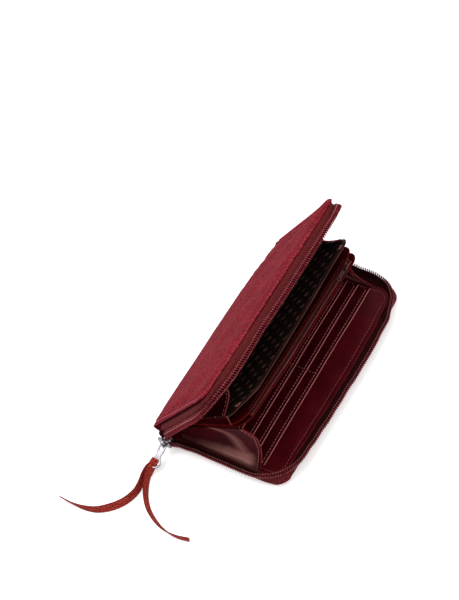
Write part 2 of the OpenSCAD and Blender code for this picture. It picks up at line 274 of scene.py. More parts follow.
class Mat:
    def __init__(self, name):
        self.m = bpy.data.materials.new(name)
        self.m.use_nodes = True
        self.t = self.m.node_tree
        self.b = self.t.nodes["Principled BSDF"]
        self.out = self.t.nodes["Material Output"]
        self.uv = self.node("ShaderNodeUVMap", uv_map="UVMap").outputs[0]
        self.obj = self.node("ShaderNodeTexCoord").outputs["Object"]

    def node(self, kind, **kw):
        n = self.t.nodes.new(kind)
        for k, v in kw.items():
            if k.startswith("in_"):
                key = k[3:]
                key = int(key) if key.isdigit() else key.replace("_", " ")
                s = n.inputs[key]
                if isinstance(v, bpy.types.NodeSocket):
                    self.t.links.new(v, s)
                else:
                    s.default_value = v
            else:
                setattr(n, k, v)
        return n

    def link(self, a, b):
        self.t.links.new(a, b)

    def set(self, **kw):
        for k, v in kw.items():
            s = self.b.inputs[k.replace("_", " ")]
            if isinstance(v, bpy.types.NodeSocket):
                self.t.links.new(v, s)
            else:
                s.default_value = v
        return self

    def scaled(self, vec, s, rot=(0, 0, 0)):
        return self.node("ShaderNodeMapping", in_Vector=vec, in_Scale=s if hasattr(s, "__len__") else (s, s, s), in_Rotation=rot).outputs[0]

    def noise(self, vec, scale, detail=3.0, rough=0.55, out=0):
        return self.node("ShaderNodeTexNoise", in_Vector=vec, in_Scale=scale, in_Detail=detail, in_Roughness=rough).outputs[out]

    def ramp(self, fac, stops, interp="LINEAR"):
        n = self.node("ShaderNodeValToRGB", in_Fac=fac)
        cr = n.color_ramp
        cr.interpolation = interp
        while len(cr.elements) < len(stops):
            cr.elements.new(0.5)
        for e, (p, c) in zip(cr.elements, stops):
            e.position, e.color = p, c
        return n.outputs[0]

    def math(self, op, a, b=None, clamp=False):
        n = self.node("ShaderNodeMath", operation=op, use_clamp=clamp)
        for k, v in enumerate((a, b)):
            if v is None:
                continue
            if isinstance(v, bpy.types.NodeSocket):
                self.link(v, n.inputs[k])
            else:
                n.inputs[k].default_value = v
        return n.outputs[0]

    def mix(self, fac, a, b, mode="MIX"):
        n = self.node("ShaderNodeMix", data_type="RGBA", blend_type=mode)
        for k, v in ((0, fac), (6, a), (7, b)):
            if isinstance(v, bpy.types.NodeSocket):
                self.link(v, n.inputs[k])
            else:
                n.inputs[k].default_value = v
        return n.outputs[2]

    def bump(self, height, strength, dist, normal=None):
        kw = {} if normal is None else {"in_Normal": normal}
        return self.node("ShaderNodeBump", in_Height=height, in_Strength=strength, in_Distance=dist, **kw).outputs[0]

    def wave(self, vec, scale, direction="X", distort=0.0, profile="SIN", dscale=1.0):
        return self.node("ShaderNodeTexWave", in_Vector=vec, in_Scale=scale, in_Distortion=distort, in_Detail=1.0, in_Detail_Scale=dscale,
                         bands_direction=direction, wave_profile=profile).outputs["Fac"]

    def sep(self, vec):
        return self.node("ShaderNodeSeparateXYZ", in_0=vec).outputs


G = lambda v: (v, v, v, 1)
# wave texture: one band per pi/10 of a unit at scale 1, so scale = 0.314 / pitch
W = lambda pitch: 0.31416 / pitch


def woven(name, dark, base, light, pitch=0.55, rough=0.78, heather=0.9, sheen=0.25, bump=0.45, crinkle=0.0, spread=0.16, under=None, ribs=0.0):
    """Tapes may take painted shade, two darker colours placed by v, which runs from the coil edge: one painted on the
    inner side and one painted beneath the coil, standing in for the shade there.
    """
    m = Mat(name)
    wx = m.wave(m.uv, W(pitch), "X", 0.8, dscale=2.0)
    wy = m.wave(m.uv, W(pitch), "Y", 0.8, dscale=2.0)
    weave = m.math("MULTIPLY", wx, wy)
    fx = m.noise(m.scaled(m.uv, (0.4, 2.4, 1)), heather, 3.0, 0.7)
    fy = m.noise(m.scaled(m.uv, (2.4, 0.4, 1)), heather * 1.1, 3.0, 0.7)
    fib = m.math("ADD", m.math("MULTIPLY", fx, 0.5), m.math("MULTIPLY", fy, 0.5))
    speck = m.noise(m.uv, 1.25, 2.0, 0.6)
    blot = m.noise(m.uv, 0.06, 3.0, 0.5)
    f = m.math("ADD", m.math("MULTIPLY", fib, 0.55), m.math("MULTIPLY", weave, 0.1))
    f = m.math("ADD", f, m.math("MULTIPLY", speck, 0.38))
    f = m.math("ADD", f, m.math("MULTIPLY", blot, 0.06))
    col = m.ramp(f, [(0.525 - spread * 0.62, dark), (0.525, base), (0.525 + spread * 0.7, light)])
    # painted shade: the tape's inner side and the strip under the coil turns are coloured darker to stand in for the
    # shade there
    if under:
        v = m.sep(m.uv)[1]
        inner = m.ramp(m.math("ADD", v, 1.0), [(0.0, G(1)), (0.9, G(0))])
        painted_coil_shade = m.ramp(m.math("DIVIDE", v, 6.0), [(0.0, G(1)), (0.66, G(1)), (0.84, G(0))])
        col = m.mix(painted_coil_shade, col, under[1])
        col = m.mix(inner, col, under[0])
    h = m.math("ADD", m.math("MULTIPLY", weave, 0.6), m.math("MULTIPLY", fib, 0.8))
    if ribs:
        # slanted rows of a twill tape
        row = m.wave(m.scaled(m.uv, (1, 1, 1), (0, 0, 0.95)), W(ribs), "X", 0.35, dscale=1.5)
        col = m.mix(m.ramp(row, [(0.2, G(0.85)), (0.62, G(0))]), col, dark)
        h = m.math("ADD", h, m.math("MULTIPLY", row, 1.6))
    n = m.bump(h, bump, 0.00016)
    if crinkle:
        c1 = m.noise(m.scaled(m.uv, (0.55, 1.0, 1)), 0.11, 5.0, 0.62)
        n = m.bump(c1, crinkle, 0.0016, n)
    m.set(Base_Color=col, Roughness=m.ramp(fib, [(0.3, G(rough + 0.08)), (0.7, G(rough - 0.08))]), Normal=n)
    m.set(Sheen_Weight=sheen, Sheen_Roughness=0.45, Specular_IOR_Level=0.05)
    m.b.inputs["Sheen Tint"].default_value = light
    return m.m


def leather(name, dark, base, light, rough=0.34, coat=0.35, grain=1.6, strength=0.25, edge=None, edge_w=0.8, spec=0.5, painted_highlight=False):
    """edge: colour of the folded rim, where UV v is under edge_w mm"""
    m = Mat(name)
    v = m.node("ShaderNodeTexVoronoi", feature="F1", in_Vector=m.uv, in_Scale=grain, in_Randomness=1.0)
    v2 = m.node("ShaderNodeTexVoronoi", feature="DISTANCE_TO_EDGE", in_Vector=m.uv, in_Scale=grain * 0.62, in_Randomness=1.0)
    pores = m.noise(m.uv, 2.6, 3.0, 0.6)
    big = m.noise(m.uv, 0.045, 3.0, 0.5)
    creases = m.noise(m.scaled(m.uv, (0.35, 1.0, 1)), 0.22, 4.0, 0.6)
    f = m.math("ADD", m.math("MULTIPLY", big, 0.55), m.math("MULTIPLY", pores, 0.3))
    f = m.math("ADD", f, m.math("MULTIPLY", v.outputs["Distance"], 0.12))
    col = m.ramp(f, [(0.3, dark), (0.5, base), (0.72, light)])
    if edge:
        s = m.sep(m.uv)
        e = m.math("ADD", s[1], m.math("MULTIPLY", m.math("SUBTRACT", pores, 0.5), 0.35))
        k = m.ramp(m.math("DIVIDE", e, edge_w), [(0.0, G(1)), (0.62, G(0.9)), (1.0, G(0))])
        col = m.mix(k, col, edge)
    h = m.math("ADD", m.math("MULTIPLY", m.ramp(v2.outputs["Distance"], [(0.0, G(0)), (0.16, G(1))]), 0.6), m.math("MULTIPLY", pores, 0.4))
    n = m.bump(h, strength, 0.00009)
    n = m.bump(creases, 0.35, 0.0007, n)
    m.set(Base_Color=col, Roughness=m.ramp(m.math("ADD", m.math("MULTIPLY", pores, 0.6), m.math("MULTIPLY", big, 0.4)), [(0.3, G(rough - 0.07)), (0.7, G(rough + 0.1))]), Normal=n)
    m.set(Coat_Weight=coat, Coat_Roughness=0.2, Specular_IOR_Level=spec)
    if painted_highlight:
        # painted highlight: a pale colour mixed into the base colour along its foot and up one soft fold stands in for
        # the shine there, with a little coat on the same mask. u runs up from the foot, v in from the free edge
        wob = m.math("MULTIPLY", m.math("SUBTRACT", m.noise(m.uv, 0.09, 3.0, 0.5), 0.5), 7.0)
        s = m.sep(m.uv)
        u, w = m.math("ADD", s[0], wob), s[1]
        foot = m.ramp(m.math("DIVIDE", m.math("ABSOLUTE", m.math("SUBTRACT", u, m.math("ADD", 6.0, m.math("MULTIPLY", w, 0.09)))), 13.0), [(0.0, G(1)), (0.3, G(0.6)), (1.0, G(0))], "EASE")
        reach = m.ramp(m.math("DIVIDE", w, 70.0), [(0.05, G(0)), (0.15, G(1)), (0.42, G(0.8)), (0.85, G(0.12))])
        fold_ = m.ramp(m.math("DIVIDE", m.math("ABSOLUTE", m.math("SUBTRACT", m.math("SUBTRACT", m.math("MULTIPLY", u, 0.62), w), 0.5 - 6.0)), 9.0), [(0.0, G(0.34)), (0.4, G(0.17)), (1.0, G(0))], "EASE")
        k = m.math("MAXIMUM", m.math("MULTIPLY", foot, reach), fold_, )
        m.set(Base_Color=m.mix(m.math("MULTIPLY", k, m.math("ADD", 0.82, m.math("MULTIPLY", m.math("SUBTRACT", pores, 0.5), 0.5))), col, srgb(190, 130, 122)), Coat_Weight=m.math("MULTIPLY", k, 0.25), Coat_Roughness=0.3)
    return m.m


def metal(name, col=(0.195, 0.18, 0.197, 1)):
    m = Mat(name)
    s1 = m.noise(m.scaled(m.obj, (6000, 700, 700)), 1.0, 3.0, 0.6)
    s2 = m.noise(m.obj, 260.0, 4.0, 0.6)
    c = m.ramp(s2, [(0.3, tuple(x * 0.86 for x in col[:3]) + (1,)), (0.7, col)])
    m.set(Base_Color=c, Metallic=1.0, Roughness=m.ramp(m.math("ADD", m.math("MULTIPLY", s1, 0.5), m.math("MULTIPLY", s2, 0.5)), [(0.35, G(0.2)), (0.7, G(0.36))]))
    m.set(Normal=m.bump(s1, 0.12, 0.00002))
    return m.m


def enamel(name, dark, base, light):
    m = Mat(name)
    a = m.noise(m.obj, 420.0, 4.0, 0.6)
    wear = m.noise(m.obj, 1500.0, 2.0, 0.5)
    m.set(Base_Color=m.ramp(a, [(0.3, dark), (0.55, base), (0.8, light)]), Roughness=m.ramp(wear, [(0.3, G(0.3)), (0.7, G(0.48))]), Specular_IOR_Level=0.12,
          Normal=m.bump(a, 0.15, 0.00004), Coat_Weight=0.04, Coat_Roughness=0.4)
    return m.m


def nylon(name, dark, base, light):
    m = Mat(name)
    a = m.noise(m.uv, 0.9, 3.0, 0.55)
    b = m.noise(m.scaled(m.uv, (1, 1, 1)), 0.12, 2.0, 0.5)
    f = m.math("ADD", m.math("MULTIPLY", a, 0.6), m.math("MULTIPLY", b, 0.4))
    m.set(Base_Color=m.ramp(f, [(0.32, dark), (0.5, base), (0.7, light)]), Roughness=m.ramp(a, [(0.3, G(0.26)), (0.7, G(0.42))]),
          Normal=m.bump(a, 0.2, 0.00006), Specular_IOR_Level=0.1, Coat_Weight=0.04, Coat_Roughness=0.2)
    return m.m


def thread(name, dark, light):
    m = Mat(name)
    tw = m.wave(m.scaled(m.uv, (1, 1.4, 1), (0, 0, 0.6)), W(0.42), "X", 0.3)
    f = m.noise(m.uv, 2.0, 3.0, 0.6)
    m.set(Base_Color=m.ramp(m.math("ADD", m.math("MULTIPLY", tw, 0.5), m.math("MULTIPLY", f, 0.5)), [(0.25, dark), (0.7, light)]),
          Roughness=m.ramp(f, [(0.3, G(0.5)), (0.7, G(0.68))]), Normal=m.bump(tw, 0.6, 0.00008), Sheen_Weight=0.2)
    return m.m


def dotted(name):
    m = Mat(name)
    wx = m.wave(m.uv, W(0.4), "X", 0.4)
    wy = m.wave(m.uv, W(0.4), "Y", 0.4)
    weave = m.math("MULTIPLY", wx, wy)
    fib = m.noise(m.scaled(m.uv, (2.0, 0.6, 1)), 1.2, 4.0, 0.6)
    base = m.ramp(m.math("ADD", m.math("MULTIPLY", fib, 0.8), m.math("MULTIPLY", weave, 0.2)), [(0.35, srgb(24, 16, 12)), (0.6, srgb(38, 27, 21)), (0.8, srgb(54, 39, 31))])
    warp = m.node("ShaderNodeVectorMath", operation="ADD", in_0=m.scaled(m.uv, (0.118, 0.118, 1), (0, 0, 0.5)), in_1=(0.3, 0.2, 0)).outputs[0]
    v = m.node("ShaderNodeTexVoronoi", feature="F1", voronoi_dimensions="2D", in_Vector=warp, in_Scale=1.0, in_Randomness=0.12)
    # every dot is a short dash: distance stretched across, by its own cell
    off = m.node("ShaderNodeVectorMath", operation="SUBTRACT", in_0=warp, in_1=v.outputs["Position"]).outputs[0]
    dash = m.node("ShaderNodeVectorMath", operation="LENGTH", in_0=m.scaled(off, (0.58, 0.98, 0))).outputs["Value"]
    dot = m.ramp(m.math("ADD", dash, m.math("MULTIPLY", fib, 0.04)), [(0.0, G(1)), (0.14, G(0.9)), (0.2, G(0))])
    tint = m.ramp(m.noise(m.uv, 0.13, 2.0, 0.5), [(0.35, srgb(66, 48, 42)), (0.65, srgb(136, 100, 90))])
    col = m.mix(dot, base, tint)
    n = m.bump(m.math("ADD", m.math("MULTIPLY", weave, 0.6), m.math("MULTIPLY", fib, 0.5)), 0.35, 0.0001)
    n = m.bump(m.noise(m.uv, 0.07, 4.0, 0.55), 0.3, 0.0012, n)
    m.set(Base_Color=col, Roughness=m.ramp(fib, [(0.3, G(0.72)), (0.7, G(0.6))]), Normal=n, Sheen_Weight=0.01, Specular_IOR_Level=0.04)
    return m.m


M = {}
M["fabric"] = woven("cover_fabric", srgb(40, 2, 9), srgb(108, 15, 27), srgb(162, 48, 62), 0.62, 0.9, 0.7, 0.008, 0.5, crinkle=0.3, spread=0.105)
# the tape's last two colours are painted shade, for its inner side and for beneath the coil
M["tape"] = woven("zip_tape", srgb(54, 14, 16), srgb(82, 25, 28), srgb(112, 44, 45), 0.5, 0.9, 1.2, 0.004, 0.4, under=(srgb(44, 12, 12), srgb(34, 5, 9)))
M["coin_tape"] = woven("coin_zip_tape", srgb(20, 2, 2), srgb(34, 4, 5), srgb(52, 12, 12), 0.5, 0.8, 1.2, 0.0, 0.4)
M["coil"] = nylon("zip_coil", srgb(58, 4, 12), srgb(102, 16, 26), srgb(146, 50, 56))
M["coin_coil"] = nylon("coin_zip_coil", srgb(32, 4, 4), srgb(54, 10, 10), srgb(84, 26, 22))
M["lining"] = leather("lining_leather", srgb(54, 1, 7), srgb(72, 3, 12), srgb(90, 7, 20), 0.42, 0.02, spec=0.08)
PALE = srgb(196, 116, 112)
M["pocket"] = leather("pocket_leather", srgb(40, 1, 6), srgb(56, 2, 10), srgb(76, 7, 18), 0.42, 0.03, edge=PALE, edge_w=0.58, spec=0.07)
# the gusset leather's pale patch along its foot and up one fold is a painted highlight
M["gusset"] = leather("gusset_leather", srgb(38, 2, 7), srgb(56, 5, 11), srgb(76, 12, 20), 0.46, 0.0, edge=srgb(108, 32, 36), edge_w=0.8, spec=0.03, painted_highlight=True)
M["gusset_dark"] = leather("gusset_leather_dark", srgb(30, 2, 5), srgb(48, 4, 10), srgb(66, 10, 17), 0.6, 0.0, edge=srgb(140, 60, 60), edge_w=0.8, spec=0.0)
M["coin"] = leather("coin_pocket_leather", srgb(50, 4, 6), srgb(74, 10, 12), srgb(96, 24, 22), 0.45, 0.0, edge=srgb(84, 18, 18), edge_w=1.5, spec=0.0)
M["coin_band"] = leather("coin_pocket_binding", srgb(84, 24, 21), srgb(108, 38, 33), srgb(130, 56, 46), 0.42, 0.05, spec=0.2)
M["dots"] = dotted("dotted_lining")
M["piping"] = leather("slip_piping", srgb(30, 13, 10), srgb(58, 28, 22), srgb(104, 60, 50), 0.5, 0.0, spec=0.12)
M["metal"] = metal("polished_metal")
M["enamel"] = enamel("painted_metal", srgb(34, 4, 6), srgb(52, 8, 10), srgb(76, 22, 22))
M["ribbon"] = woven("ribbon_fabric", srgb(84, 12, 12), srgb(156, 44, 36), srgb(222, 104, 86), 0.9, 0.85, 0.8, 0.02, 1.0, spread=0.12, ribs=1.5)
M["board"] = woven("stiffener_board", srgb(30, 12, 12), srgb(48, 20, 20), srgb(66, 32, 30), 0.8, 0.9, 0.6, 0.0, 0.3)
M["thread_red"] = thread("seam_thread", srgb(120, 26, 44), srgb(184, 76, 96))
M["thread_pale"] = thread("pale_thread", srgb(140, 64, 66), srgb(212, 132, 126))
M["thread_mid"] = thread("mid_thread", srgb(96, 28, 32), srgb(166, 76, 76))
M["thread_coil"] = thread("coil_thread", srgb(88, 28, 32), srgb(186, 110, 104))
M["thread_dark"] = thread("dark_thread", srgb(46, 10, 12), srgb(92, 34, 34))


def done(ob, body, slot, *nodes):
    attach(ob, body)
    if nodes:
        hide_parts(*nodes)
    return ob


def uv_xy(V):
    return np.stack([V[:, 0], V[:, 1]], 1)


# ------------------------------------------------------------------ covers
def cover_profile():
    """cross-section of the padded fabric: inner face, rounded edge, seam groove, padding, flat. (inset, height, corner radius)"""
    rows = [(7.0, 1.55), (4.0, 1.55), (1.6, 1.6), (0.7, 1.55), (0.2, 1.3), (0.0, 0.95), (0.1, 0.6), (0.45, 0.3), (1.0, 0.14), (1.7, 0.12), (2.4, 0.3), (2.8, 0.56),
            (3.1, 0.66), (3.4, 0.56), (3.9, 0.26), (4.6, -0.02), (5.6, -0.22), (6.6, -0.2), (7.6, 0.02), (8.6, 0.34), (9.4, 0.46), (10.4, 0.42), (12.0, 0.24), (14.5, 0.05)]
    d = 17.0
    while d < 97:
        rows.append((d, 0.0))
        d += 2.6
    rows.append((97.3, 0.0))
    return [(a, z, max(12.5 - a, 0.4 + 6 * math.exp(-a / 10))) for a, z in rows]


def cover_warp(seed, amp, lift):
    def f(P, d):
        x, y = P[..., 0], P[..., 1]
        inner = np.clip((d[:, None] - 3.2) / 14, 0, 1)
        outer = np.arange(len(d))[:, None] >= 6
        soft = (waves(x, y, 7, 34, 90, seed) * 0.3 + waves(x, y, 9, 12, 30, seed + 1) * 0.13) * (1 - 0.7 * smooth((y - 20) / 28))
        crink = waves(x, y, 12, 5, 11, seed + 2) * 0.05
        dz = (soft * inner + crink * np.clip((d[:, None] - 0.5) / 4, 0, 1)) * amp
        edge = waves(x, y, 6, 18, 46, seed + 3) * 0.18 * amp
        P = P.copy()
        P[..., 2] += np.where(outer, dz, 0)
        # spine side rolls over into the spine
        k = np.clip((y - (HW - 3.0)) / 3.0, 0, 1)
        P[..., 2] += np.where(outer, (1 - np.sqrt(np.clip(1 - k * k, 0, 1))) * 1.5, 0)
        # the free rim is never quite straight
        side = np.clip((6 - d[:, None]) / 6, 0, 1)
        P[..., 1] += np.where(y < 0, edge * side * 0.6, 0)
        P[..., 2] += np.where(outer, -lift * np.clip((d[:, None] - 12) / 40, 0, 1) ** 0.8, 0)
        if lift > 0.2:
            # front: the padding swells towards the spine, and the near side stands out
            sw = spine_swell(x) * smooth((y + 30) / 75) ** 1.15
            nearside = 1.5 * smooth((-x - 78) / 18) * smooth((60 - y) / 12) * smooth((y + 56) / 14)
            P[..., 2] -= np.maximum(sw * smooth(d[:, None] / 1.2 + 0.25), nearside)
            # its far free corner is squarer
            c = np.exp(-(((x - 95) ** 2 + (y + 50) ** 2) / 90.0))
            P[..., 0] += 1.1 * c * np.clip(1 - d[:, None] / 12, 0, 1)
            P[..., 1] -= 1.1 * c * np.clip(1 - d[:, None] / 12, 0, 1)
            c = np.exp(-(((x - 90) ** 2 + (y + 46) ** 2) / 260.0))
            P[..., 2] -= 1.5 * c * np.where(outer, smooth((d[:, None] + 0.6) / 2.4), 0)
        else:
            P = back_shape(P, np.broadcast_to(d[:, None], x.shape))
        return P
    return f


def pin_and_puff(name, V, a, b, prof, top, cap):
    """cloth simulation of the padded face: rim and spine held, the rest let swell and wrinkle a little; returns moved points"""
    P = V.reshape(a, b, 3)
    first = 12
    Q = P[first:]
    n = Q.shape[0]
    me = bpy.data.meshes.new(name + "_sim")
    me.from_pydata((Q.reshape(-1, 3) / 1000 * 1.0).tolist(), [], quads(n, b))
    ob = bpy.data.objects.new(name + "_sim", me)
    bpy.context.scene.collection.objects.link(ob)
    vg = ob.vertex_groups.new(name="hold")
    idx = np.arange(n * b)
    d = np.repeat([p[0] for p in prof[first:]], b)
    y = Q.reshape(-1, 3)[:, 1]
    hold = np.clip(np.maximum(1 - (d - 3.3) / 5.0, 1 - (HW - y) / 5.0), 0, 1)
    near_seam = np.exp(-((d - 9.0) / 1.4) ** 2) * 0.9
    hold = np.maximum(hold, near_seam)
    hold = np.where(d > 92, 1.0, hold)
    for w in range(0, 11):
        sel = idx[np.round(hold * 10).astype(int) == w]
        if w and len(sel):
            vg.add(sel.tolist(), w / 10, "REPLACE")
    md = ob.modifiers.new("cloth", "CLOTH")
    st = md.settings
    st.quality = 5
    st.mass = 0.25
    st.tension_stiffness = 12
    st.compression_stiffness = 12
    st.shear_stiffness = 6
    st.bending_stiffness = 0.6
    st.vertex_group_mass = "hold"
    st.shrink_min = -0.012
    st.effector_weights.gravity = 0.12 if top else 0.0
    st.use_pressure = True
    st.uniform_pressure_force = 0.6
    md.collision_settings.use_collision = False
    sc = bpy.context.scene
    sc.frame_start, sc.frame_end = 1, 14
    md.point_cache.frame_start, md.point_cache.frame_end = 1, 14
    for f in range(1, 15):
        sc.frame_set(f)
    ev = ob.evaluated_get(bpy.context.evaluated_depsgraph_get())
    co = np.zeros(len(ev.data.vertices) * 3, np.float32)
    ev.data.vertices.foreach_get("co", co)
    co = co.reshape(-1, 3).astype(float) * 1000
    move = co - Q.reshape(-1, 3)
    size = np.linalg.norm(move, axis=1)
    move *= (np.minimum(size, cap) / (size + 1e-9))[:, None]
    bpy.data.objects.remove(ob)
    bpy.data.meshes.remove(me)
    sc.frame_set(1)
    P = P.copy()
    P[first:] += move.reshape(n, b, 3)
    return P.reshape(-1, 3)


PROF = cover_profile()


def outer_panel(which):
    amp, lift = (1.0, 0.55) if which == "front" else (0.3, -0.05)
    V, F, a, b, s = u_sheet(PROF, warp=cover_warp(11 if which == "front" else 23, amp, lift))
    if which == "front":
        V = pin_and_puff("front_outer_panel", V, a, b, PROF, True, 0.7)
    V[:, 2] = np.maximum(V[:, 2], 0.0 if which == "back" else -2.6)
    uv = uv_xy(V)
    if which == "front":
        V = leaf(flipz(V), OPEN_F)
    ob = mesh(which + "_outer_panel_fabric", V, F, uv, M["fabric"], 70)
    done(ob, which + "_cover", "cover_fabric", which + "_outer_panel")
    # seam thread in the groove
    bd = Build()
    q, n, t, _ = dense_u(HL - 3.05, -HW + 3.05, HW - 2, 9.5, 0.5)
    P = np.column_stack([q, np.full(len(q), 0.46)])
    N = np.tile([0.0, 0, -1], (len(q), 1))
    if which == "back":
        P = back_shape(P, np.full(len(P), 3.05))
    else:
        sw = spine_swell(q[:, 0]) * smooth((q[:, 1] + 30) / 75) ** 1.15
        P[:, 2] -= np.maximum(sw, 1.5 * smooth((-q[:, 0] - 78) / 18) * smooth((60 - q[:, 1]) / 12) * smooth((q[:, 1] + 56) / 14))
    stitches(bd, P, N, 3.0, 2.35, 0.2, 0.16, seed=5)
    V, F, uv = bd.data()
    if which == "front":
        V = leaf(flipz(V), OPEN_F)
    done(mesh(which + "_cover_seam_stitches", V, F, uv, M["thread_red"]), which + "_cover", "cover_fabric")
    # board
    rows = [(60, 1.72), (6, 1.72), (3.6, 1.74), (3.5, 1.95), (3.6, 2.3), (6, 2.32), (96.9, 2.32)]
    inner = [96.9, 60, 30, 24, 20, 16, 12, 9, 7]
    rows = [(d, 1.72) for d in inner] + [(6.1, 1.74), (5.9, 1.9), (6.0, 2.25)] + [(d, 2.32) for d in inner[::-1]]
    V, F, a, b, s = u_sheet([(d, z, max(24 - d, 0.4)) for d, z in rows], ye=HW - 2)
    uv = uv_xy(V)
    if which == "back":
        V = back_shape(V, np.repeat([r_[0] for r_ in rows], b))
    if which == "front":
        V = leaf(flipz(V), OPEN_F)
    done(mesh(which + "_stiffener_board_sheet", V, F, uv, M["board"]), which + "_cover", "stiffener_board", which + "_stiffener_board")


def lining(which):
    rows = [(96.9, 2.42), (40, 2.42), (26, 2.42), (20, 2.42), (16, 2.42), (12, 2.42), (8, 2.42), (5.4, 2.4), (4.2, 2.15), (3.7, 2.2), (3.5, 2.55), (3.6, 2.95), (4.1, 3.2), (4.9, 3.3), (6.2, 3.22), (7.6, 3.12), (8.2, 3.06), (8.8, 3.14), (10, 3.24)]
    rows += [(d, 3.24) for d in np.arange(13, 96, 3.5)] + [(96.9, 3.24)]

    def warp(P, d):
        P = P.copy()
        top = np.arange(len(d))[:, None] >= 14
        P[..., 2] += np.where(top, waves(P[..., 0], P[..., 1], 8, 22, 60, 31) * 0.09 * np.clip((d[:, None] - 8) / 6, 0, 1), 0)
        P[..., 2] += np.where((np.arange(len(d))[:, None] >= 10) & (d[:, None] < 7), np.abs(waves(P[..., 0], P[..., 1], 5, 16, 40, 33)) * 0.12, 0)
        return P
    V, F, a, b, s = u_sheet([(d, z, max(17.5 - d, 0.5)) for d, z in rows], ye=HW - 2, warp=warp)
    uv = uv_xy(V)
    if which == "back":
        V = back_shape(V, np.repeat([r_[0] for r_ in rows], b))
    if which == "front":
        V = leaf(flipz(V), OPEN_F)
    done(mesh(which + "_lining_sheet", V, F, uv, M["lining"]), which + "_cover", "lining_leather", which + "_lining_panel")
    bd = Build()
    q, n, t, _ = dense_u(HL - 8.2, -HW + 8.2, 30, 9.0, 0.5)
    P = np.column_stack([q, np.full(len(q), 3.14)])
    if which == "back":
        P = back_shape(P, np.full(len(P), 8.2))
    stitches(bd, P, np.tile([0.0, 0, 1], (len(q), 1)), 2.9, 2.2, 0.22, 0.16, seed=9)
    V, F, uv = bd.data()
    if which == "front":
        V = leaf(flipz(V), OPEN_F)
    done(mesh(which + "_lining_stitches", V, F, uv, M["thread_mid"]), which + "_cover", "lining_leather")


def card_pockets(which):
    bd = Build()
    for k in range(4):
        y0, zb = -27 + 10 * k, 3.3 + 0.6 * k
        # cross-section along y: folded mouth, stitch dip, flat; v runs from the mouth
        rows = [(42 - y0, zb + 0.02), (3.0, zb + 0.02), (0.7, zb + 0.02), (0.16, zb + 0.14), (0.0, zb + 0.36), (0.14, zb + 0.6), (0.55, zb + 0.74), (1.2, zb + 0.74),
                (2.2, zb + 0.62), (2.8, zb + 0.52), (3.4, zb + 0.58), (4.6, zb + 0.56), (7, zb + 0.54), (9.5, zb + 0.53), (42 - y0, zb + 0.5)]
        xs = np.linspace(-88.6, 88.6, 180)
        P = np.zeros((len(rows), len(xs), 3))
        uv = np.zeros((len(rows), len(xs), 2))
        bow = waves(xs, 0 * xs, 5, 40, 120, 41 + k) * 0.16
        for i, (d, z) in enumerate(rows):
            f = math.exp(-d / 5.0)
            puff = 0.55 * f * (np.abs(np.sin(math.pi * (xs + 88.6) / 88.6)) ** 0.6)
            rise = (waves(xs, 0 * xs + d, 6, 26, 70, 51 + k) * 0.07 + 0.1) * f + puff * 0.55
            P[i, :, 0] = xs
            P[i, :, 1] = y0 + d + bow * f
            P[i, :, 2] = z + rise * (1 if i > 2 else 0.8)
            # centre seam holds the layers down
            P[i, :, 2] -= np.exp(-((xs) / 1.3) ** 2) * 0.16 * (i > 5)
            uv[i, :, 0] = xs
            uv[i, :, 1] = d if i >= 3 else d + 3
        # the ends turn down
        end = np.exp(-(88.6 - np.abs(xs)) / 0.8)
        P[4:, :, 2] -= end[None] * 0.35
        V, F = P.reshape(-1, 3), quads(len(rows), len(xs))
        if which == "front":
            V = leaf(flipz(V), OPEN_F)
        done(mesh(f"{which}_card_pocket_layer_{k + 1}", V, F, uv.reshape(-1, 2), M["pocket"], 60), which + "_cover", "pocket_leather", f"{which}_card_pocket_{k + 1}")
        x2 = np.linspace(-88, 88, 360)
        z2 = np.interp(x2, xs, P[9, :, 2])
        y2 = np.interp(x2, xs, P[9, :, 1])
        stitches(bd, np.column_stack([x2, y2, z2 + 0.05]), np.tile([0.0, 0, 1], (360, 1)), 2.9, 2.1, 0.23, 0.16, seed=60 + k)
        yy = np.linspace(y0 + 3.5, y0 + 9.6 if k < 3 else 41, 24)
        stitches(bd, np.column_stack([0 * yy, yy, 0 * yy + zb + 0.5]), np.tile([0.0, 0, 1], (24, 1)), 3.0, 2.3, 0.17, 0.16, seed=70 + k)
        for sx in (-1, 1):
            stitches(bd, np.column_stack([0 * yy + sx * 87.2, yy, 0 * yy + zb + 0.5]), np.tile([0.0, 0, 1], (24, 1)), 3.0, 2.3, 0.16, 0.16, seed=80 + k)
    V, F, uv = bd.data()
    if which == "front":
        V = leaf(flipz(V), OPEN_F)
    done(mesh(which + "_card_pocket_stitches", V, F, uv, M["thread_pale"]), which + "_cover", "pocket_leather")


# ------------------------------------------------------------------ zips
TAPE = np.array([(6.0, 2.05, 11.0), (1.0, 2.1, 12.5), (-0.3, 2.4, 14.5), (-1.1, 3.2, 20), (-1.8, 4.5, 27.5), (-2.3, 6.0, 32), (-2.7, 7.6, 33.4), (-3.0, 9.5, 33.6),
                 (-3.25, 9.75, 33.8), (-3.4, 9.5, 34), (-3.15, 7.6, 33.5), (-2.8, 6.0, 31.9), (-2.3, 4.3, 26.5), (-1.5, 2.8, 19.0), (-0.45, 1.85, 14.1), (1.0, 1.66, 12.3), (6.0, 1.62, 11.0)])


def far_square(which, V, amount=4.2):
    """the front zip turns its far corner more tightly than its near one"""
    if which != "front":
        return V
    V = np.array(V, float)
    k = np.exp(-(((V[:, 0] - 96) ** 2 + (V[:, 1] + 46) ** 2) / 190.0)) * amount * 0.7071
    k = k * smooth((V[:, 2] - 2.5) / 5)
    V[:, 0] += k
    V[:, 1] -= k
    return V


def lift(q):
    """the slow ripple of the tape's free edge"""
    return (waves(q[:, 0], q[:, 1], 5, 30, 80, 91) * 0.28 + waves(q[:, 0], q[:, 1], 5, 9, 20, 93) * 0.06) * 0.6


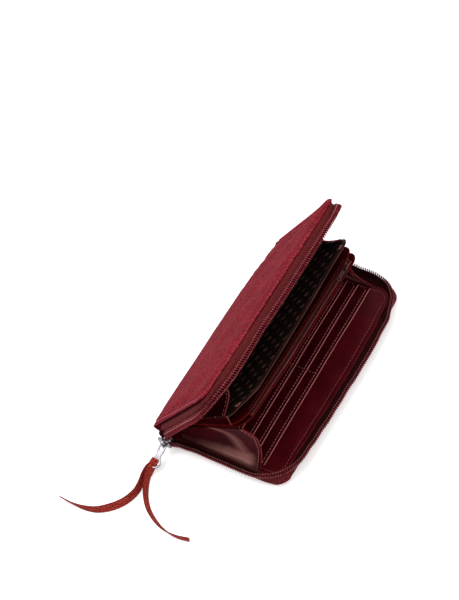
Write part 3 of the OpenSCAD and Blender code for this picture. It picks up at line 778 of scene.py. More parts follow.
def zip_side(which, ye):
    t = np.linspace(0, len(TAPE) - 1, 60)
    prof = np.stack([np.interp(t, np.arange(len(TAPE)), TAPE[:, k]) for k in range(3)], 1)

    def warp(P, d):
        P = P.copy()
        k = np.clip((P[..., 2] - 3) / 5, 0, 1)
        w = waves(P[..., 0], P[..., 1], 5, 30, 80, 91) * 0.28 + waves(P[..., 0], P[..., 1], 5, 9, 20, 93) * 0.06
        up = smooth((P[..., 2] - 2.0) / 5.5)
        P[..., 2] += w * k * 0.6
        if which == "back":
            P = back_shape(P, np.maximum(np.broadcast_to(d[:, None], P.shape[:2]), 0), up)
        return P
    V, F, a, b, s = u_sheet([tuple(p) for p in prof], ye=ye, warp=warp)
    V = far_square(which, V)
    arc = np.concatenate([[0], np.cumsum(np.linalg.norm(np.diff(prof[:, :2], axis=0), axis=1))])
    mid = np.interp(8, np.arange(len(TAPE)), np.interp(np.arange(len(TAPE)), t, arc))
    # v is the distance from the coil edge of the tape: outside positive, inside negative
    uv = np.stack([np.tile(s, a), np.repeat(arc - mid, b)], 1)
    if which == "front":
        V = leaf(flipz(V), OPEN_F)
    done(mesh(which + "_zip_tape_cloth", V, F, uv, M["tape"], 70), which + "_cover", "zip_tape", which + "_zip_tape")

    q, n, tg, s = dense_u(HL + 3.95, -HW - 3.95, ye - 1.0, 34.6, 0.1)
    V, F, uv = coil_along(q, n, s, 7.95, which)
    V = far_square(which, V)
    if which == "back":
        V = back_shape(V, np.zeros(len(V)), np.ones(len(V)))
    else:
        V = leaf(flipz(V), OPEN_F)
    done(mesh(which + "_zip_coil_turns", V, F, uv, M["coil"], 80), which + "_cover", "zip_coil", which + "_zip_coil")
    # the sewing that ties the coil to the tape: one row of short threads crossing the turns
    bd = Build()
    for zz, off, sd in ((6.75, 4.5, 101), (9.95, 3.2, 103)):
        q, n, tg, s = dense_u(HL + off, -HW - off, ye - 1.0, 34 + off - 3, 0.3)
        P = np.column_stack([q, np.full(len(q), zz) + lift(q)])
        stitches(bd, P, np.column_stack([n, np.zeros(len(n))]) if zz < 9 else np.tile([0.0, 0, 1], (len(n), 1)), 2.0, 1.0, 0.28, 0.2, seed=sd)
    V, F, uv = bd.data()
    V = far_square(which, V)
    if which == "back":
        V = back_shape(V, np.zeros(len(V)), np.ones(len(V)))
    else:
        V = leaf(flipz(V), OPEN_F)
    done(mesh(which + "_zip_coil_sewing", V, F, uv, M["thread_coil"]), which + "_cover", "zip_coil")


def coil_along(q, n, s, zc, which, pitch=2.0, per=20, half=2.2, thick=0.5, rad=0.43, theta=None):
    turns = int(s[-1] // pitch)
    k = np.arange(turns * per + 1)
    ph = k / per
    u = ph + 0.25
    i, f = np.floor(u), u - np.floor(u)
    st = pitch * (i + 0.5 * smooth(f / 0.16) + 0.5 * smooth((f - 0.84) / 0.16))
    x = np.interp(st, s, q[:, 0])
    y = np.interp(st, s, q[:, 1])
    nx = np.interp(st, s, n[:, 0])
    ny = np.interp(st, s, n[:, 1])
    a = 2 * math.pi * ph
    c, d = np.cos(a), np.sin(a)
    sup = lambda v, e: np.sign(v) * np.abs(v) ** e
    # the coil leans out from the wallet, less so beside the slider and round the near corner
    tilt = 1.0 * smooth((HW - 8 - y) / 14) * (1 - 0.75 * np.exp(-(((x + 90) ** 2 + (y + 46) ** 2) / 420.0)))
    off = thick * sup(c, 0.6) + tilt * sup(d, 0.75) * 0.9 + np.where(c < 0, 0.15, 0.0)
    z = zc + half * sup(d, 0.75)
    P = np.column_stack([x + nx * off, y + ny * off, z + lift(np.column_stack([x, y]))])
    # every turn swells at its free end, where it locks
    return tube(P, rad * (1 + 0.22 * np.clip(d - 0.72, 0, 1) / 0.28), 8, up=np.column_stack([nx, ny, 0 * nx + 0.01]))


# ------------------------------------------------------------------ leaves
def rim_sheet(name, body, slot, node, mat, hx, w0, w1, r, z0, t, ang, side, seed, amp=0.25, rim=0.55, uvr=False, extra=None):
    """a leaf: sheet with a folded, rounded rim. side is not used"""
    yf, ye = HW - w1, HW - w0
    c, h = z0 + t / 2, t / 2
    rows = []
    D = min(hx, w1 - w0) - 0.1
    rows += [(D, c - h), (8, c - h), (3, c - h), (1.6, c - h - 0.02), (1.0, c - h * 1.1), (0.45, c - h * 1.1), (0.12, c - h * 0.7), (0, c), (0.12, c + h * 0.7), (0.45, c + h * 1.1), (1.0, c + h * 1.12), (1.6, c + h * 0.95), (2.2, c + h * 0.8), (3.0, c + h)]
    dd = 5.0
    while dd < D - 2:
        rows.append((dd, c + h))
        dd += 3.2
    rows.append((D, c + h))

    def warp(P, d):
        P = P.copy()
        k = np.clip(d[:, None] / 12, 0.15, 1)
        P[..., 2] += waves(P[..., 0], P[..., 1], 7, 40, 110, seed) * amp * k * 0.5
        if extra is not None:
            q = extra(P, d)
            P = P if q is None else q
        return P
    V, F, a, b, s = u_sheet([(q, z, max(r - q, 0.4)) for q, z in rows], hx=hx, yf=yf, ye=ye, warp=warp)
    if uvr:
        uv = np.stack([np.tile(s, a), np.repeat([q for q, z in rows], b)], 1)
    else:
        uv = uv_xy(V)
    ob = mesh(name, leaf(V, ang), F, uv, mat, 60)
    done(ob, body, slot, node)
    return ob


COIN_BACK = [(-88, 2.5), (-80, 2.2), (-66, 1.5), (-50, 0.8), (-29, -0.5), (0, -1.0), (35, -1.3), (60, -1.9), (75, -2.3), (88, -2.5)]
COIN_FRONT = [(-88, 0.3), (-60, 0.2), (-20, -0.5), (35, -1.0), (75, -1.2), (88, -1.2)]


def coin_shape(P, share):
    """share 0 at the front wall, 1 at the back wall; the pocket pinches at its near end and sinks at its far end"""
    x, w = P[..., 0], HW - P[..., 1]
    f = smooth((w - 8) / 60)
    b = np.interp(x, *np.array(COIN_BACK).T)
    c = np.interp(x, *np.array(COIN_FRONT).T)
    P = P.copy()
    P[..., 2] += (b * share + c * (1 - share)) * f
    P[..., 0] += 1.9 * smooth((-x - 50) / 38) * smooth((w - 4) / 20)
    return P


def coin_pocket():
    z = HT
    rim_sheet("coin_pocket_back_wall_leather", "coin_pocket", "coin_pocket_leather", "coin_pocket_back_wall", M["coin"], 88, 6, 88, 14, z - 4.6, 0.85, OPEN_C, -1, 201, 0.18, uvr=True, extra=lambda P, d: coin_shape(P, 1.0))
    rim_sheet("coin_pocket_front_wall_leather", "coin_pocket", "coin_pocket_leather", "coin_pocket_front_wall", M["coin"], 88, 6, 88, 14, z + 1.38, 0.85, OPEN_C, 1, 203, 0.12, uvr=True, extra=lambda P, d: coin_shape(P, 0.0))
    # side and bottom band, folded slightly inward
    q = upath(88, HW - 76, HW - 6, 6, 30, 16, 60)
    prof = [(0.35, -3.75), (0.1, -3.2), (0.5, -1.2), (0.5, -1.2 + 0.6), (0.1, 0.8), (0.35, 1.35), (1.4, 1.35), (1.1, 0.6), (1.6, -0.9), (1.6, -1.5), (1.1, -3.0), (1.4, -3.75)]
    V, F, a, b, s = u_sheet([(d, HT + zz, max(5 - d, 0.5)) for d, zz in prof], hx=88, yf=HW - 76.0, ye=HW - 6.2, loop=True)
    V = coin_shape(V, np.clip((HT + 1.6 - V[:, 2]) / 6.0, 0, 1))
    keep = [f for f in F if not all(V[i, 1] < HW - 70 and abs(V[i, 0]) < 82 for i in f)]
    uv = np.stack([np.tile(s, a), np.repeat(np.arange(a) * 0.9 + 3, b)], 1)
    done(mesh("coin_pocket_side_band_leather", leaf(V, OPEN_C), keep, uv, M["coin"], 60), "coin_pocket", "coin_pocket_leather", "coin_pocket_side_band")
    # zip tapes: fold over from the walls to the coil, woven
    for nm, s1 in (("back", -1), ("front", 1)):
        base = -3.72 if s1 < 0 else 1.32
        inner = -2.05 if s1 < 0 else -0.35
        rows = [(79, base), (84, base), (86.2, base), (86.75, base - s1 * 0.28), (86.9, base - s1 * 0.8), (86.85, (base + inner) / 2), (86.8, inner),
                (86.45, inner), (86.4, (base + inner) / 2), (86.3, base - s1 * 0.9), (86.0, base - s1 * 0.5), (84, base - s1 * 0.35), (79, base - s1 * 0.35)]
        xs = np.linspace(-76, 76, 160)
        P = np.zeros((len(rows), len(xs), 3))
        for i, (w, zz) in enumerate(rows):
            P[i, :, 0] = xs
            P[i, :, 1] = HW - w - waves(xs, 0 * xs, 5, 22, 60, 210 + s1) * 0.08 * (w > 85)
            P[i, :, 2] = HT + zz
        arc = np.cumsum([0] + [math.dist(rows[i], rows[i + 1]) for i in range(len(rows) - 1)])
        uv = np.stack([np.tile(xs, len(rows)), np.repeat(arc, len(xs))], 1)
        P = coin_shape(P, np.full(P.shape[:2], 0.62 if s1 < 0 else 0.42))
        done(mesh(f"coin_zip_tape_{nm}_cloth", leaf(P.reshape(-1, 3), OPEN_C), quads(len(rows), len(xs), close_a=True), uv, M["coin_band"] if s1 < 0 else M["coin_tape"], 60), "coin_pocket", "coin_zip_tape", f"coin_zip_tape_{nm}")
        # coil: flat loops in the plane of the tape
        zc = -1.2 + s1 * 0.92
        pitch, per = 1.45, 14
        k = np.arange(int(146 // pitch) * per + 1) / per
        a = 2 * math.pi * k + (math.pi if s1 > 0 else 0)
        sup = lambda v, e: np.sign(v) * np.abs(v) ** e
        P = np.column_stack([-73 + k * pitch, HW - (86.55 + 0.42 * sup(np.cos(a), 0.6)), HT + zc + 0.58 * sup(np.sin(a), 0.8) * s1])
        P = coin_shape(P, np.full(len(P), 0.5))
        V, F, uv = tube(P, 0.27, 6, up=(0, -1, 0.02))
        done(mesh(f"coin_zip_coil_{nm}_turns", leaf(V, OPEN_C), F, uv, M["coin_coil"], 80), "coin_pocket", "coin_zip_coil", f"coin_zip_coil_{nm}")
    bd = Build()
    xs = np.linspace(-74, 74, 300)
    for w, zz, nn in ((85.2, 2.27, 1), (85.2, -4.66, -1)):
        stitches(bd, np.column_stack([xs, 0 * xs + HW - w, 0 * xs + HT + zz]), np.tile([0.0, 0, nn], (300, 1)), 3.0, 2.3, 0.17, 0.16, seed=220)
    for zz in (-2.75, 0.35):
        stitches(bd, np.column_stack([xs, 0 * xs + HW - 86.95, 0 * xs + HT + zz]), np.tile([0.0, -1, 0], (300, 1)), 1.45, 1.3, 0.12, 0.1, seed=221)
    V, F, uv = bd.data()
    V = coin_shape(V, np.clip((HT + 1.6 - V[:, 2]) / 6.0, 0, 1))
    done(mesh("coin_pocket_stitches", leaf(V, OPEN_C), F, uv, M["thread_dark"]), "coin_pocket", "coin_pocket_leather")


SLIP_SAG = [(-86, 0.2), (-78, 0.2), (-70, -1.6), (-58, -3.4), (-20, -3.4), (25, -2.9), (54, -2.0), (86, -1.8)]
SLIP_REACH = [(-86, 0.0), (-78, 0.2), (-70, 1.4), (-58, 2.9), (-20, 2.9), (25, 2.5), (54, 2.2), (86, 2.2)]


def slip_panel():
    def belly(P, d=None):
        P = P.copy()
        x, w = P[..., 0], HW - P[..., 1]
        P[..., 2] += 0.5 * np.sin(math.pi * np.clip(w / 90, 0, 1)) * np.cos(math.pi * x / 190)
        e = smooth((w - 25) / 62)
        P[..., 2] += np.interp(x, *np.array(SLIP_SAG).T) * e
        P[..., 1] -= np.interp(x, *np.array(SLIP_REACH).T) * e
        return P
    rim_sheet("slip_pocket_panel_cloth", "slip_panel", "dotted_lining", "slip_pocket_panel", M["dots"], 86, 6, 88.5, 9, HT + 2.85, 0.7, OPEN_S, 1, 301, 0.3, extra=belly)
    # folded binding over the panel's top edge, rounded, following its corners
    rows = [(2.4, 2.62), (0.9, 2.5), (-0.2, 2.55), (-0.75, 2.9), (-0.85, 3.25), (-0.7, 3.6), (-0.1, 3.95), (0.9, 4.02), (1.9, 3.95), (2.4, 3.78)]
    V, F, a, b, s = u_sheet([(d, HT + z - 0.05, max(9 - d, 0.5)) for d, z in rows], hx=86, yf=HW - 88.5, ye=HW - 70, n=(10, 18, 120))
    keep = [f for f in F if all(V[i, 1] < HW - 81.5 for i in f)]
    arc = np.cumsum([0] + [math.dist(rows[i], rows[i + 1]) for i in range(len(rows) - 1)])
    uv = np.stack([np.tile(s, a), np.repeat(arc, b)], 1)
    V = belly(V)
    done(mesh("slip_pocket_piping_fold", leaf(V, OPEN_S), keep, uv, M["piping"], 60), "slip_panel", "slip_piping", "slip_pocket_piping")
    bd = Build()
    xs = np.linspace(-76, 76, 300)
    stitches(bd, np.column_stack([xs, 0 * xs + HW - 86.7, 0 * xs + HT + 3.95]), np.tile([0.0, 0, 1], (300, 1)), 2.8, 2.2, 0.16, 0.14, seed=311)
    V, F, uv = bd.data()
    V = belly(V)
    done(mesh("slip_pocket_stitches", leaf(V, OPEN_S), F, uv, M["thread_dark"]), "slip_panel", "slip_piping")
    bd = Build()
    for sx in (-1, 1):
        for k in range(11):
            x0 = sx * 76 + (k - 5) * 0.4
            y0 = HW - 87.2
            P = np.array([[x0, y0, 3.9], [x0 + 0.06, y0 + 0.3, 4.2], [x0 + 0.1, y0 + 1.3, 4.28], [x0 + 0.14, y0 + 2.3, 4.2], [x0 + 0.2, y0 + 2.6, 3.9]]) + [0, 0, HT]
            bd.add(*tube(P, 0.24, 6, up=(1, 0, 0)))
    V, F, uv = bd.data()
    V = belly(V)
    done(mesh("slip_pocket_bartack_threads", leaf(V, OPEN_S), F, uv, M["thread_pale"]), "slip_panel", "slip_piping", "slip_pocket_bartacks")


# ------------------------------------------------------------------ gussets
def gusset_sheet(name, s, a0, a1, wmax, xb, xt, bulge, zb, zt, mat, node, pair, share, wmin=9.0, thick=0.7, hem=True, crease=None, rows=40, cols=40, stitch=True, slip_end=None):
    """sheet between the leaf at angle a0 and the one at a1. wmax(t): reach at share t of the way; zb, zt: heights over each leaf's plane at its ends"""
    T = np.linspace(0, 1, rows)
    S = np.concatenate([np.linspace(0, 0.9, cols - 12), np.linspace(0.915, 1, 12)])
    P = np.zeros((rows, cols, 3))
    A = np.zeros((rows, cols))
    UVv = np.zeros((rows, cols, 2))
    for i, t in enumerate(T):
        w = wmin + (wmax(t) - wmin) * S
        ang = a0 + (a1 - a0) * t
        zz = zb + (zt - zb) * t
        x = xb + (xt - xb) * t + bulge(t, S)
        P[i, :, 0] = s * x
        P[i, :, 1] = HW - w
        P[i, :, 2] = HT + zz
        if slip_end is not None:
            # the edge sewn to the slip pocket sags and reaches with it
            g = abs(t - (1 - slip_end)) ** 3 * smooth((w - 25) / 62)
            P[i, :, 2] += np.interp(P[i, :, 0], *np.array(SLIP_SAG).T) * g
            P[i, :, 1] -= np.interp(P[i, :, 0], *np.array(SLIP_REACH).T) * g
        A[i] = ang
        UVv[i, :, 0] = t * 50
        UVv[i, :, 1] = (wmax(t) - w)
    V = fold(P.reshape(-1, 3), A.ravel())
    # give it thickness along its own normals
    G3 = V.reshape(rows, cols, 3)
    du, dv = np.gradient(G3, axis=0), np.gradient(G3, axis=1)
    N = np.cross(du, dv)
    N /= np.linalg.norm(N, axis=2)[..., None] + 1e-9
    thick_ = np.full((rows, cols), thick / 2)
    if hem:
        e = UVv[..., 1]
        thick_ = thick_ + 0.22 * np.exp(-((e - 1.2) / 1.3) ** 2) - 0.1 * np.exp(-((e - 2.9) / 0.5) ** 2)
        thick_[:, -1] *= 0.35
    up, lo = G3 + N * thick_[..., None], G3 - N * thick_[..., None]
    n = rows * cols
    V2 = np.concatenate([up.reshape(-1, 3), lo.reshape(-1, 3)])
    Fq = quads(rows, cols) + [tuple(i + n for i in f[::-1]) for f in quads(rows, cols)]
    ring = [i * cols + cols - 1 for i in range(rows)]
    Fq += [(ring[i], ring[i + 1], ring[i + 1] + n, ring[i] + n) for i in range(rows - 1)]
    ring = [i * cols for i in range(rows)]
    Fq += [(ring[i + 1], ring[i], ring[i] + n, ring[i + 1] + n) for i in range(rows - 1)]
    for base in (0, (rows - 1) * cols):
        Fq += [(base + j, base + j + 1, base + j + 1 + n, base + j + n) for j in range(cols - 1)]
    uv = np.concatenate([UVv.reshape(-1, 2)] * 2)
    ob = mesh(name, V2, Fq, uv, mat, 60)
    fr = np.tile(share[0] + (share[1] - share[0]) * np.repeat(T, cols), 2)
    weights(ob, fr, *pair)
    if node:
        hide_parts(node)
    # hem stitches, 2.9 mm in from the free edge
    if hem and stitch:
        bd = Build()
        line, nn, sh = [], [], []
        for i in range(rows):
            e = UVv[i, :, 1]
            j = np.interp(2.9, e[::-1], np.arange(cols)[::-1])
            j0, fj = int(j), j - int(j)
            line.append(G3[i, j0] * (1 - fj) + G3[i, min(j0 + 1, cols - 1)] * fj)
            nn.append(N[i, j0])
        line, nn = np.array(line), np.array(nn)
        sgn = 1.0 if (nn[:, 0] * s).mean() > 0 else -1.0
        for q in (1, -1):
            before = bd.n
            stitches(bd, line + nn * sgn * q * (thick / 2 + 0.02), nn * sgn * q, 2.9, 2.2, 0.17, 0.14, seed=400 + rows)
        V, F, uv = bd.data()
        st = mesh(name + "_hem_stitches", V, F, uv, M["thread_pale"])
        ctr = V.copy()
        polar = np.degrees(np.arctan2(ctr[:, 2] - HT, HW - ctr[:, 1]))
        lp = np.degrees(np.arctan2(line[:, 2] - HT, HW - line[:, 1]))
        fr = np.interp(polar, lp, share[0] + (share[1] - share[0]) * T)
        weights(st, fr, *pair)
    return ob


def gussets():
    for s, tag in ((-1, "near"), (1, "far")):
        # back: from the lining to the coin pocket's side
        if s < 0:
            wm = lambda t: np.interp(t, [0, 0.3, 0.6, 0.74, 0.8, 0.9, 1.0], [79.5, 82.2, 85.8, 88.6, 88.2, 86.4, 84.8])
            bl = lambda t, S: (-4.6 * math.sin(math.pi * t) ** 1.1 * S ** 1.3 + 2.4 * np.sin(2 * math.pi * t) * (1 - S) * S * 2 + 1.1 * math.exp(-((t - 0.12) / 0.12) ** 2) * S
                               + 0.6 * np.sin(6.5 * S + 3.0 * t) * math.sin(math.pi * t))
            xt, zt = 86.8, -1.6
        else:
            wm = lambda t: np.interp(t, [0, 0.06, 0.2, 0.41, 0.63, 0.8, 1.0], [79.5, 78.5, 74, 70.5, 69, 70.5, 74])
            bl = lambda t, S: -4.6 * math.sin(math.pi * t) ** 1.1 * S ** 1.1 + 0.5 * np.sin(5.2 * S + 2.0 * t)
            xt, zt = 88.4, -6.0
        gusset_sheet(tag + "_back_gusset_leather", s, 0, OPEN_C, wm, 91.4, xt, bl, -6.6, zt, M["gusset"], tag + "_back_gusset", ("back_cover", "coin_pocket"), (0, 1))
        # slip pocket: dark lining, shallow
        wm = lambda t: 76 + 2.5 * t - 3.0 * math.sin(math.pi * t)
        bl = lambda t, S: -2.2 * math.sin(math.pi * t) * S
        gusset_sheet(tag + "_slip_gusset_cloth", s, OPEN_C, OPEN_S, wm, 86.4 if s < 0 else 87.4, 85.4, bl, 2.3, 3.0, M["gusset_dark"], tag + "_slip_gusset", ("coin_pocket", "slip_panel"), (0, 1), hem=False, rows=12, slip_end=1)
        # front: from the slip panel to the front cover's lining, folded deep inward
        deep = 17.0 if s < 0 else 13.0
        if s < 0:
            wm = lambda t: np.interp(t, [0, 0.25, 0.5, 0.75, 1.0], [78.5, 81.5, 84.5, 85.0, 84.0])
        else:
            wm = lambda t: np.interp(t, [0, 0.25, 0.5, 0.75, 1.0], [81.0, 80.5, 79.5, 80.0, 80.0])
        bl = lambda t, S, deep=deep: -deep * (1 - abs(2 * t - 1) ** 1.6) * (0.12 + 0.88 * S ** 0.9)
        gusset_sheet(tag + "_front_gusset_leather", s, OPEN_S, OPEN_F, wm, 85.8, 91.2, bl, 3.95, 7.2, M["gusset_dark"], tag + "_front_gusset",
                     ("back_cover", "front_cover"), (OPEN_S / OPEN_F, 1.0), thick=0.6, stitch=s < 0, slip_end=0)


# ------------------------------------------------------------------ spine
def spine():
    """outer fabric from the back panel's edge, folding in at the hinge line, and out to the front panel's edge"""
    for which in ("lower", "upper"):
        zz = np.array([1.0, 1.6, 2.6, 4.0, 5.6, 7.4, 9.0, 10.2, 11.0])
        out = np.array([0.0, 0.16, 0.3, 0.34, 0.28, 0.1, -0.25, -0.6, -0.85])
        xs = np.linspace(-97.4, 97.4, 140)
        P = np.zeros((len(zz), len(xs), 3))
        for i in range(len(zz)):
            P[i, :, 0] = xs
            P[i, :, 1] = HW - 0.1 + out[i] + waves(xs, 0 * xs + zz[i] * 3, 6, 16, 50, 501) * 0.1 * math.sin(math.pi * min(1, (zz[i] - 1) / 9))
            P[i, :, 2] = zz[i]
        inner = P.copy()
        inner[..., 1] -= 1.2
        V = np.concatenate([P.reshape(-1, 3), inner.reshape(-1, 3)])
        a, b = P.shape[:2]
        n = a * b
        F = quads(a, b) + [tuple(k + n for k in f[::-1]) for f in quads(a, b)]
        for i in range(a - 1):
            for j in (0, b - 1):
                F.append((i * b + j, (i + 1) * b + j, (i + 1) * b + j + n, i * b + j + n))
        F += [(j, j + 1, j + 1 + n, j + n) for j in range(b - 1)]
        uv = np.stack([V[:, 0], V[:, 2] + 60], 1)
        z0 = V[:, 2].copy()
        # share of the front cover's turn: half at the hinge line
        k = np.clip((z0 - 7.0) / 4.0, 0, 1)
        if which == "lower":
            w = 0.5 * k * k
            ang = OPEN_F * w
            V = fold(V, ang)
        else:
            V = flipz(V)
            w = 1 - 0.5 * k * k
            # the upper half follows the swell of the front cover
            g = smooth((V[:, 2] - HT) / 9.5)
            V[:, 2] += spine_swell(V[:, 0]) * g * 1.0
            V[:, 1] += 0.5 * spine_swell(V[:, 0]) / 3.5 * np.sin(math.pi * np.clip((V[:, 2] - HT) / 13, 0, 1))
            V = fold(V, OPEN_F * w)
        ob = mesh("spine_" + which + "_fabric", V, F, uv, M["fabric"], 70)
        weights(ob, w, "back_cover", "front_cover")
        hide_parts("spine_" + which + "_half")


# ------------------------------------------------------------------ hardware
def curve_plate(outline, holes, thick, bevel):
    """flat plate with holes and rounded edges, in its own XY plane, mm"""
    cu = bpy.data.curves.new("plate", "CURVE")
    cu.dimensions, cu.fill_mode = "2D", "BOTH"
    cu.extrude, cu.bevel_depth, cu.bevel_resolution, cu.offset = thick / 2 - bevel, bevel, 3, -bevel
    for ring in [outline] + holes:
        sp = cu.splines.new("POLY")
        sp.points.add(len(ring) - 1)
        for p, (x, y) in zip(sp.points, ring):
            p.co = (x, y, 0, 1)
        sp.use_cyclic_u = True
    ob = bpy.data.objects.new("plate", cu)
    bpy.context.scene.collection.objects.link(ob)
    bpy.context.view_layer.update()
    me = bpy.data.meshes.new_from_object(ob.evaluated_get(bpy.context.evaluated_depsgraph_get()))
    bpy.data.objects.remove(ob)
    V = np.array([v.co for v in me.vertices])
    F = [tuple(p.vertices) for p in me.polygons]
    bpy.data.meshes.remove(me)
    return V, F


def arc(cx, cy, r, a0, a1, n=10):
    t = np.radians(np.linspace(a0, a1, n))
    return [(cx + r * math.cos(x), cy + r * math.sin(x)) for x in t]


def rrect(x0, x1, y0, y1, r, n=7):
    return arc(x1 - r, y0 + r, r, -90, 0, n) + arc(x1 - r, y1 - r, r, 0, 90, n) + arc(x0 + r, y1 - r, r, 90, 180, n) + arc(x0 + r, y0 + r, r, 180, 270, n)


def axes(V, ex, ey, ez, o):
    V = np.asarray(V)
    return V[:, :1] * np.array(ex) + V[:, 1:2] * np.array(ey) + V[:, 2:3] * np.array(ez) + np.array(o)


def weld(V, F):
    """merge the doubled rims the curve conversion leaves"""
    key, out, idx = {}, [], []
    for v in V:
        k = tuple(np.round(v, 4))
        if k not in key:
            key[k] = len(out)
            out.append(v)
        idx.append(key[k])
    G2 = []
    for f in F:
        g = [idx[i] for i in f]
        g = [g[i] for i in range(len(g)) if g[i] != g[i - 1]]
        if len(g) > 2:
            G2.append(tuple(g))
    return np.array(out), G2


def hardware():
    SY = HW - 2.75
    # ---- main slider: X outward is -X. plate plane is YZ
    bd = Build()

    def plate(outl, holes, th, bv, ex, ey, ez, o):
        V, F = curve_plate(outl, holes, th, bv)
        V, F = weld(V, F)
        bd.add(axes(V, ex, ey, ez, o), F, np.zeros((len(V), 2)))
    # heart-shaped plates: shoulders towards the spine end, narrow at the leading end
    body = arc(3.2, 3.4, 2.0, 0, 90) + arc(1.2, 3.7, 1.7, 90, 130) + [(-2.6, 4.0)] + arc(-4.0, 3.0, 1.25, 80, 180) + arc(-4.0, -3.0, 1.25, 180, 280) + [(-2.6, -4.0)] + arc(1.2, -3.7, 1.7, 230, 270) + arc(3.2, -3.4, 2.0, 270, 360)
    body = [(x, y * 1.02) for x, y in body]
    plate(body, [], 1.1, 0.4, (0, 1, 0), (0, 0, 1), (1, 0, 0), (-HL - 5.9, SY, HT))
    body2 = [(x, y * 0.84) for x, y in body]
    plate(body2, [], 0.9, 0.35, (0, 1, 0), (0, 0, 1), (1, 0, 0), (-HL - 1.2, SY, HT))
    plate(rrect(-0.8, 0.8, -2.2, 2.2, 0.35), [], 0.7, 0.15, (0, 1, 0), (1, 0, 0), (0, 0, 1), (-HL - 3.6, SY + 4.2, HT))
    for s in (-1, 1):
        plate(rrect(-4.6, 4.4, -0.5, 0.5, 0.3), [], 0.5, 0.15, (0, 1, 0), (1, 0, 0), (0, 0, 1), (-HL - 5.0, SY, HT + s * 4.55))
    V, F, uv = bd.data()
    done(mesh("zip_slider_body_metal", V, F, uv, M["metal"], 35), "zip_slider", "polished_metal", "zip_slider_body")
    # arch: a bent strap in the XZ plane
    pts = np.array([(0.2, -3.6), (-1.1, -3.55), (-1.6, -3.2), (-1.75, -2.4), (-1.75, 0), (-1.75, 2.4), (-1.6, 3.2), (-1.1, 3.55), (0.2, 3.6)])
    q, _ = resample(pts, count=40)
    T = np.gradient(q, axis=0)
    T /= np.linalg.norm(T, axis=1)[:, None]
    Nn = np.stack([T[:, 1], -T[:, 0]], 1)
    ring = [(-1.05, -0.3), (-0.8, -0.55), (0.8, -0.55), (1.05, -0.3), (1.05, 0.3), (0.8, 0.5), (-0.8, 0.5), (-1.05, 0.3)]
    Vv = []
    for p, n in zip(q, Nn):
        for yy, k in ring:
            Vv.append([-HL - 7.6 + 1.1 + p[0] - 0.25 + n[0] * k, SY + yy, HT + p[1] + n[1] * k])
    F = quads(40, 8, close_b=True) + [tuple(range(8)), tuple(39 * 8 + k for k in range(8))]
    done(mesh("zip_slider_arch_strap", np.array(Vv), F, np.zeros((320, 2)), M["metal"], 40), "zip_slider", "polished_metal", "zip_slider_arch")
    # ---- pull tab
    bd = Build()
    L = 19.0
    outl = arc(0.0, 2.2, 0.75, 0, 90, 6) + [(-1.5, 3.05), (-3, 3.1), (-5.5, 3.0), (-7.5, 2.55), (-8.6, 2.45), (-9.8, 2.7), (-11.2, 3.6), (-12.4, 4.4)] + arc(-14.25, 0, 4.72, 68, 292, 30) + [(-12.4, -4.4), (-11.2, -3.6), (-9.8, -2.7), (-8.6, -2.45), (-7.5, -2.55), (-5.5, -3.0), (-3, -3.1), (-1.5, -3.05)] + arc(0.0, -2.2, 0.75, 270, 360, 6)
    slot_h = rrect(-5.1, -0.55, -1.65, 1.65, 1.2)[::-1]
    eye = (arc(-14.4, 0, 3.1, 105, 255, 22) + arc(-13.9, -2.1, 0.9, 270, 360, 6) + arc(-13.9, 2.1, 0.9, 0, 90, 6))[::-1]
    V, F = weld(*curve_plate(outl, [slot_h, eye], 1.05, 0.32))
    c, sn = math.cos(math.radians(17)), math.sin(math.radians(17))
    V = axes(V, (c, 0, sn), (0, 1, 0), (-sn, 0, c), (-HL - 7.6, SY, HT))
    bd.add(V, F, V[:, :2])
    V, F, uv = bd.data()
    done(mesh("zip_pull_tab_plate", V, F, uv, M["metal"], 35), "zip_pull", "polished_metal", "zip_pull_tab")
    # ---- bottom stop at the far spine end: a crimped strip
    V, F = weld(*curve_plate(rrect(-1.5, 1.5, -2.4, 2.4, 0.6), [], 2.1, 0.6))
    V = axes(V, (0, 1, 0), (0, 0, 1), (1, 0, 0), (HL + 4.1, HW - 4.8, 8.4))
    done(mesh("zip_bottom_stop_crimp", V, F, V[:, :2], M["metal"], 40), "back_cover", "polished_metal", "zip_bottom_stop")
    # ---- coin slider, drawn in the leaf's own axes: u along X, w outward, z across
    bd = Build()
    ox, oy, oz = 62, HW - 88, HT - 1.2

    def lp(outl, holes, th, bv, ex, ey, ez, o):
        V, F = weld(*curve_plate(outl, holes, th, bv))
        V = axes(V, ex, ey, ez, np.array(o) + (ox, oy, oz))
        bd.add(V, F, V[:, :2])
    sh = arc(7.6, 0.9, 1.2, 0, 90) + [(4, 1.9)] + arc(1.2, 0.8, 1.0, 90, 180) + arc(1.2, -0.8, 1.0, 180, 270) + [(4, -1.9)] + arc(7.6, -0.9, 1.2, 270, 360)
    lp(sh, [], 0.75, 0.25, (1, 0, 0), (0, 0, 1), (0, 1, 0), (0, -0.55, 0))
    lp([(x, y * 0.82) for x, y in sh], [], 0.7, 0.22, (1, 0, 0), (0, 0, 1), (0, 1, 0), (0, 4.15, 0))
    lp(rrect(-0.5, 0.5, -2.2, 2.2, 0.2), [], 0.6, 0.12, (1, 0, 0), (0, 1, 0), (0, 0, 1), (8.4, 1.8, 0))
    pts = np.array([(2.4, -0.9), (2.4, -2.7), (2.8, -3.2), (5.6, -3.2), (6.0, -2.7), (6.0, -0.9)])
    q, _ = resample(pts, count=30)
    T = np.gradient(q, axis=0)
    T /= np.linalg.norm(T, axis=1)[:, None]
    Nn = np.stack([T[:, 1], -T[:, 0]], 1)
    ring = [(-1.15, -0.25), (-0.9, -0.38), (0.9, -0.38), (1.15, -0.25), (1.15, 0.25), (0.9, 0.38), (-0.9, 0.38), (-1.15, 0.25)]
    Vv = [[ox + p[0] + n[0] * k, oy + p[1] + n[1] * k, oz + zz] for p, n in zip(q, Nn) for zz, k in ring]
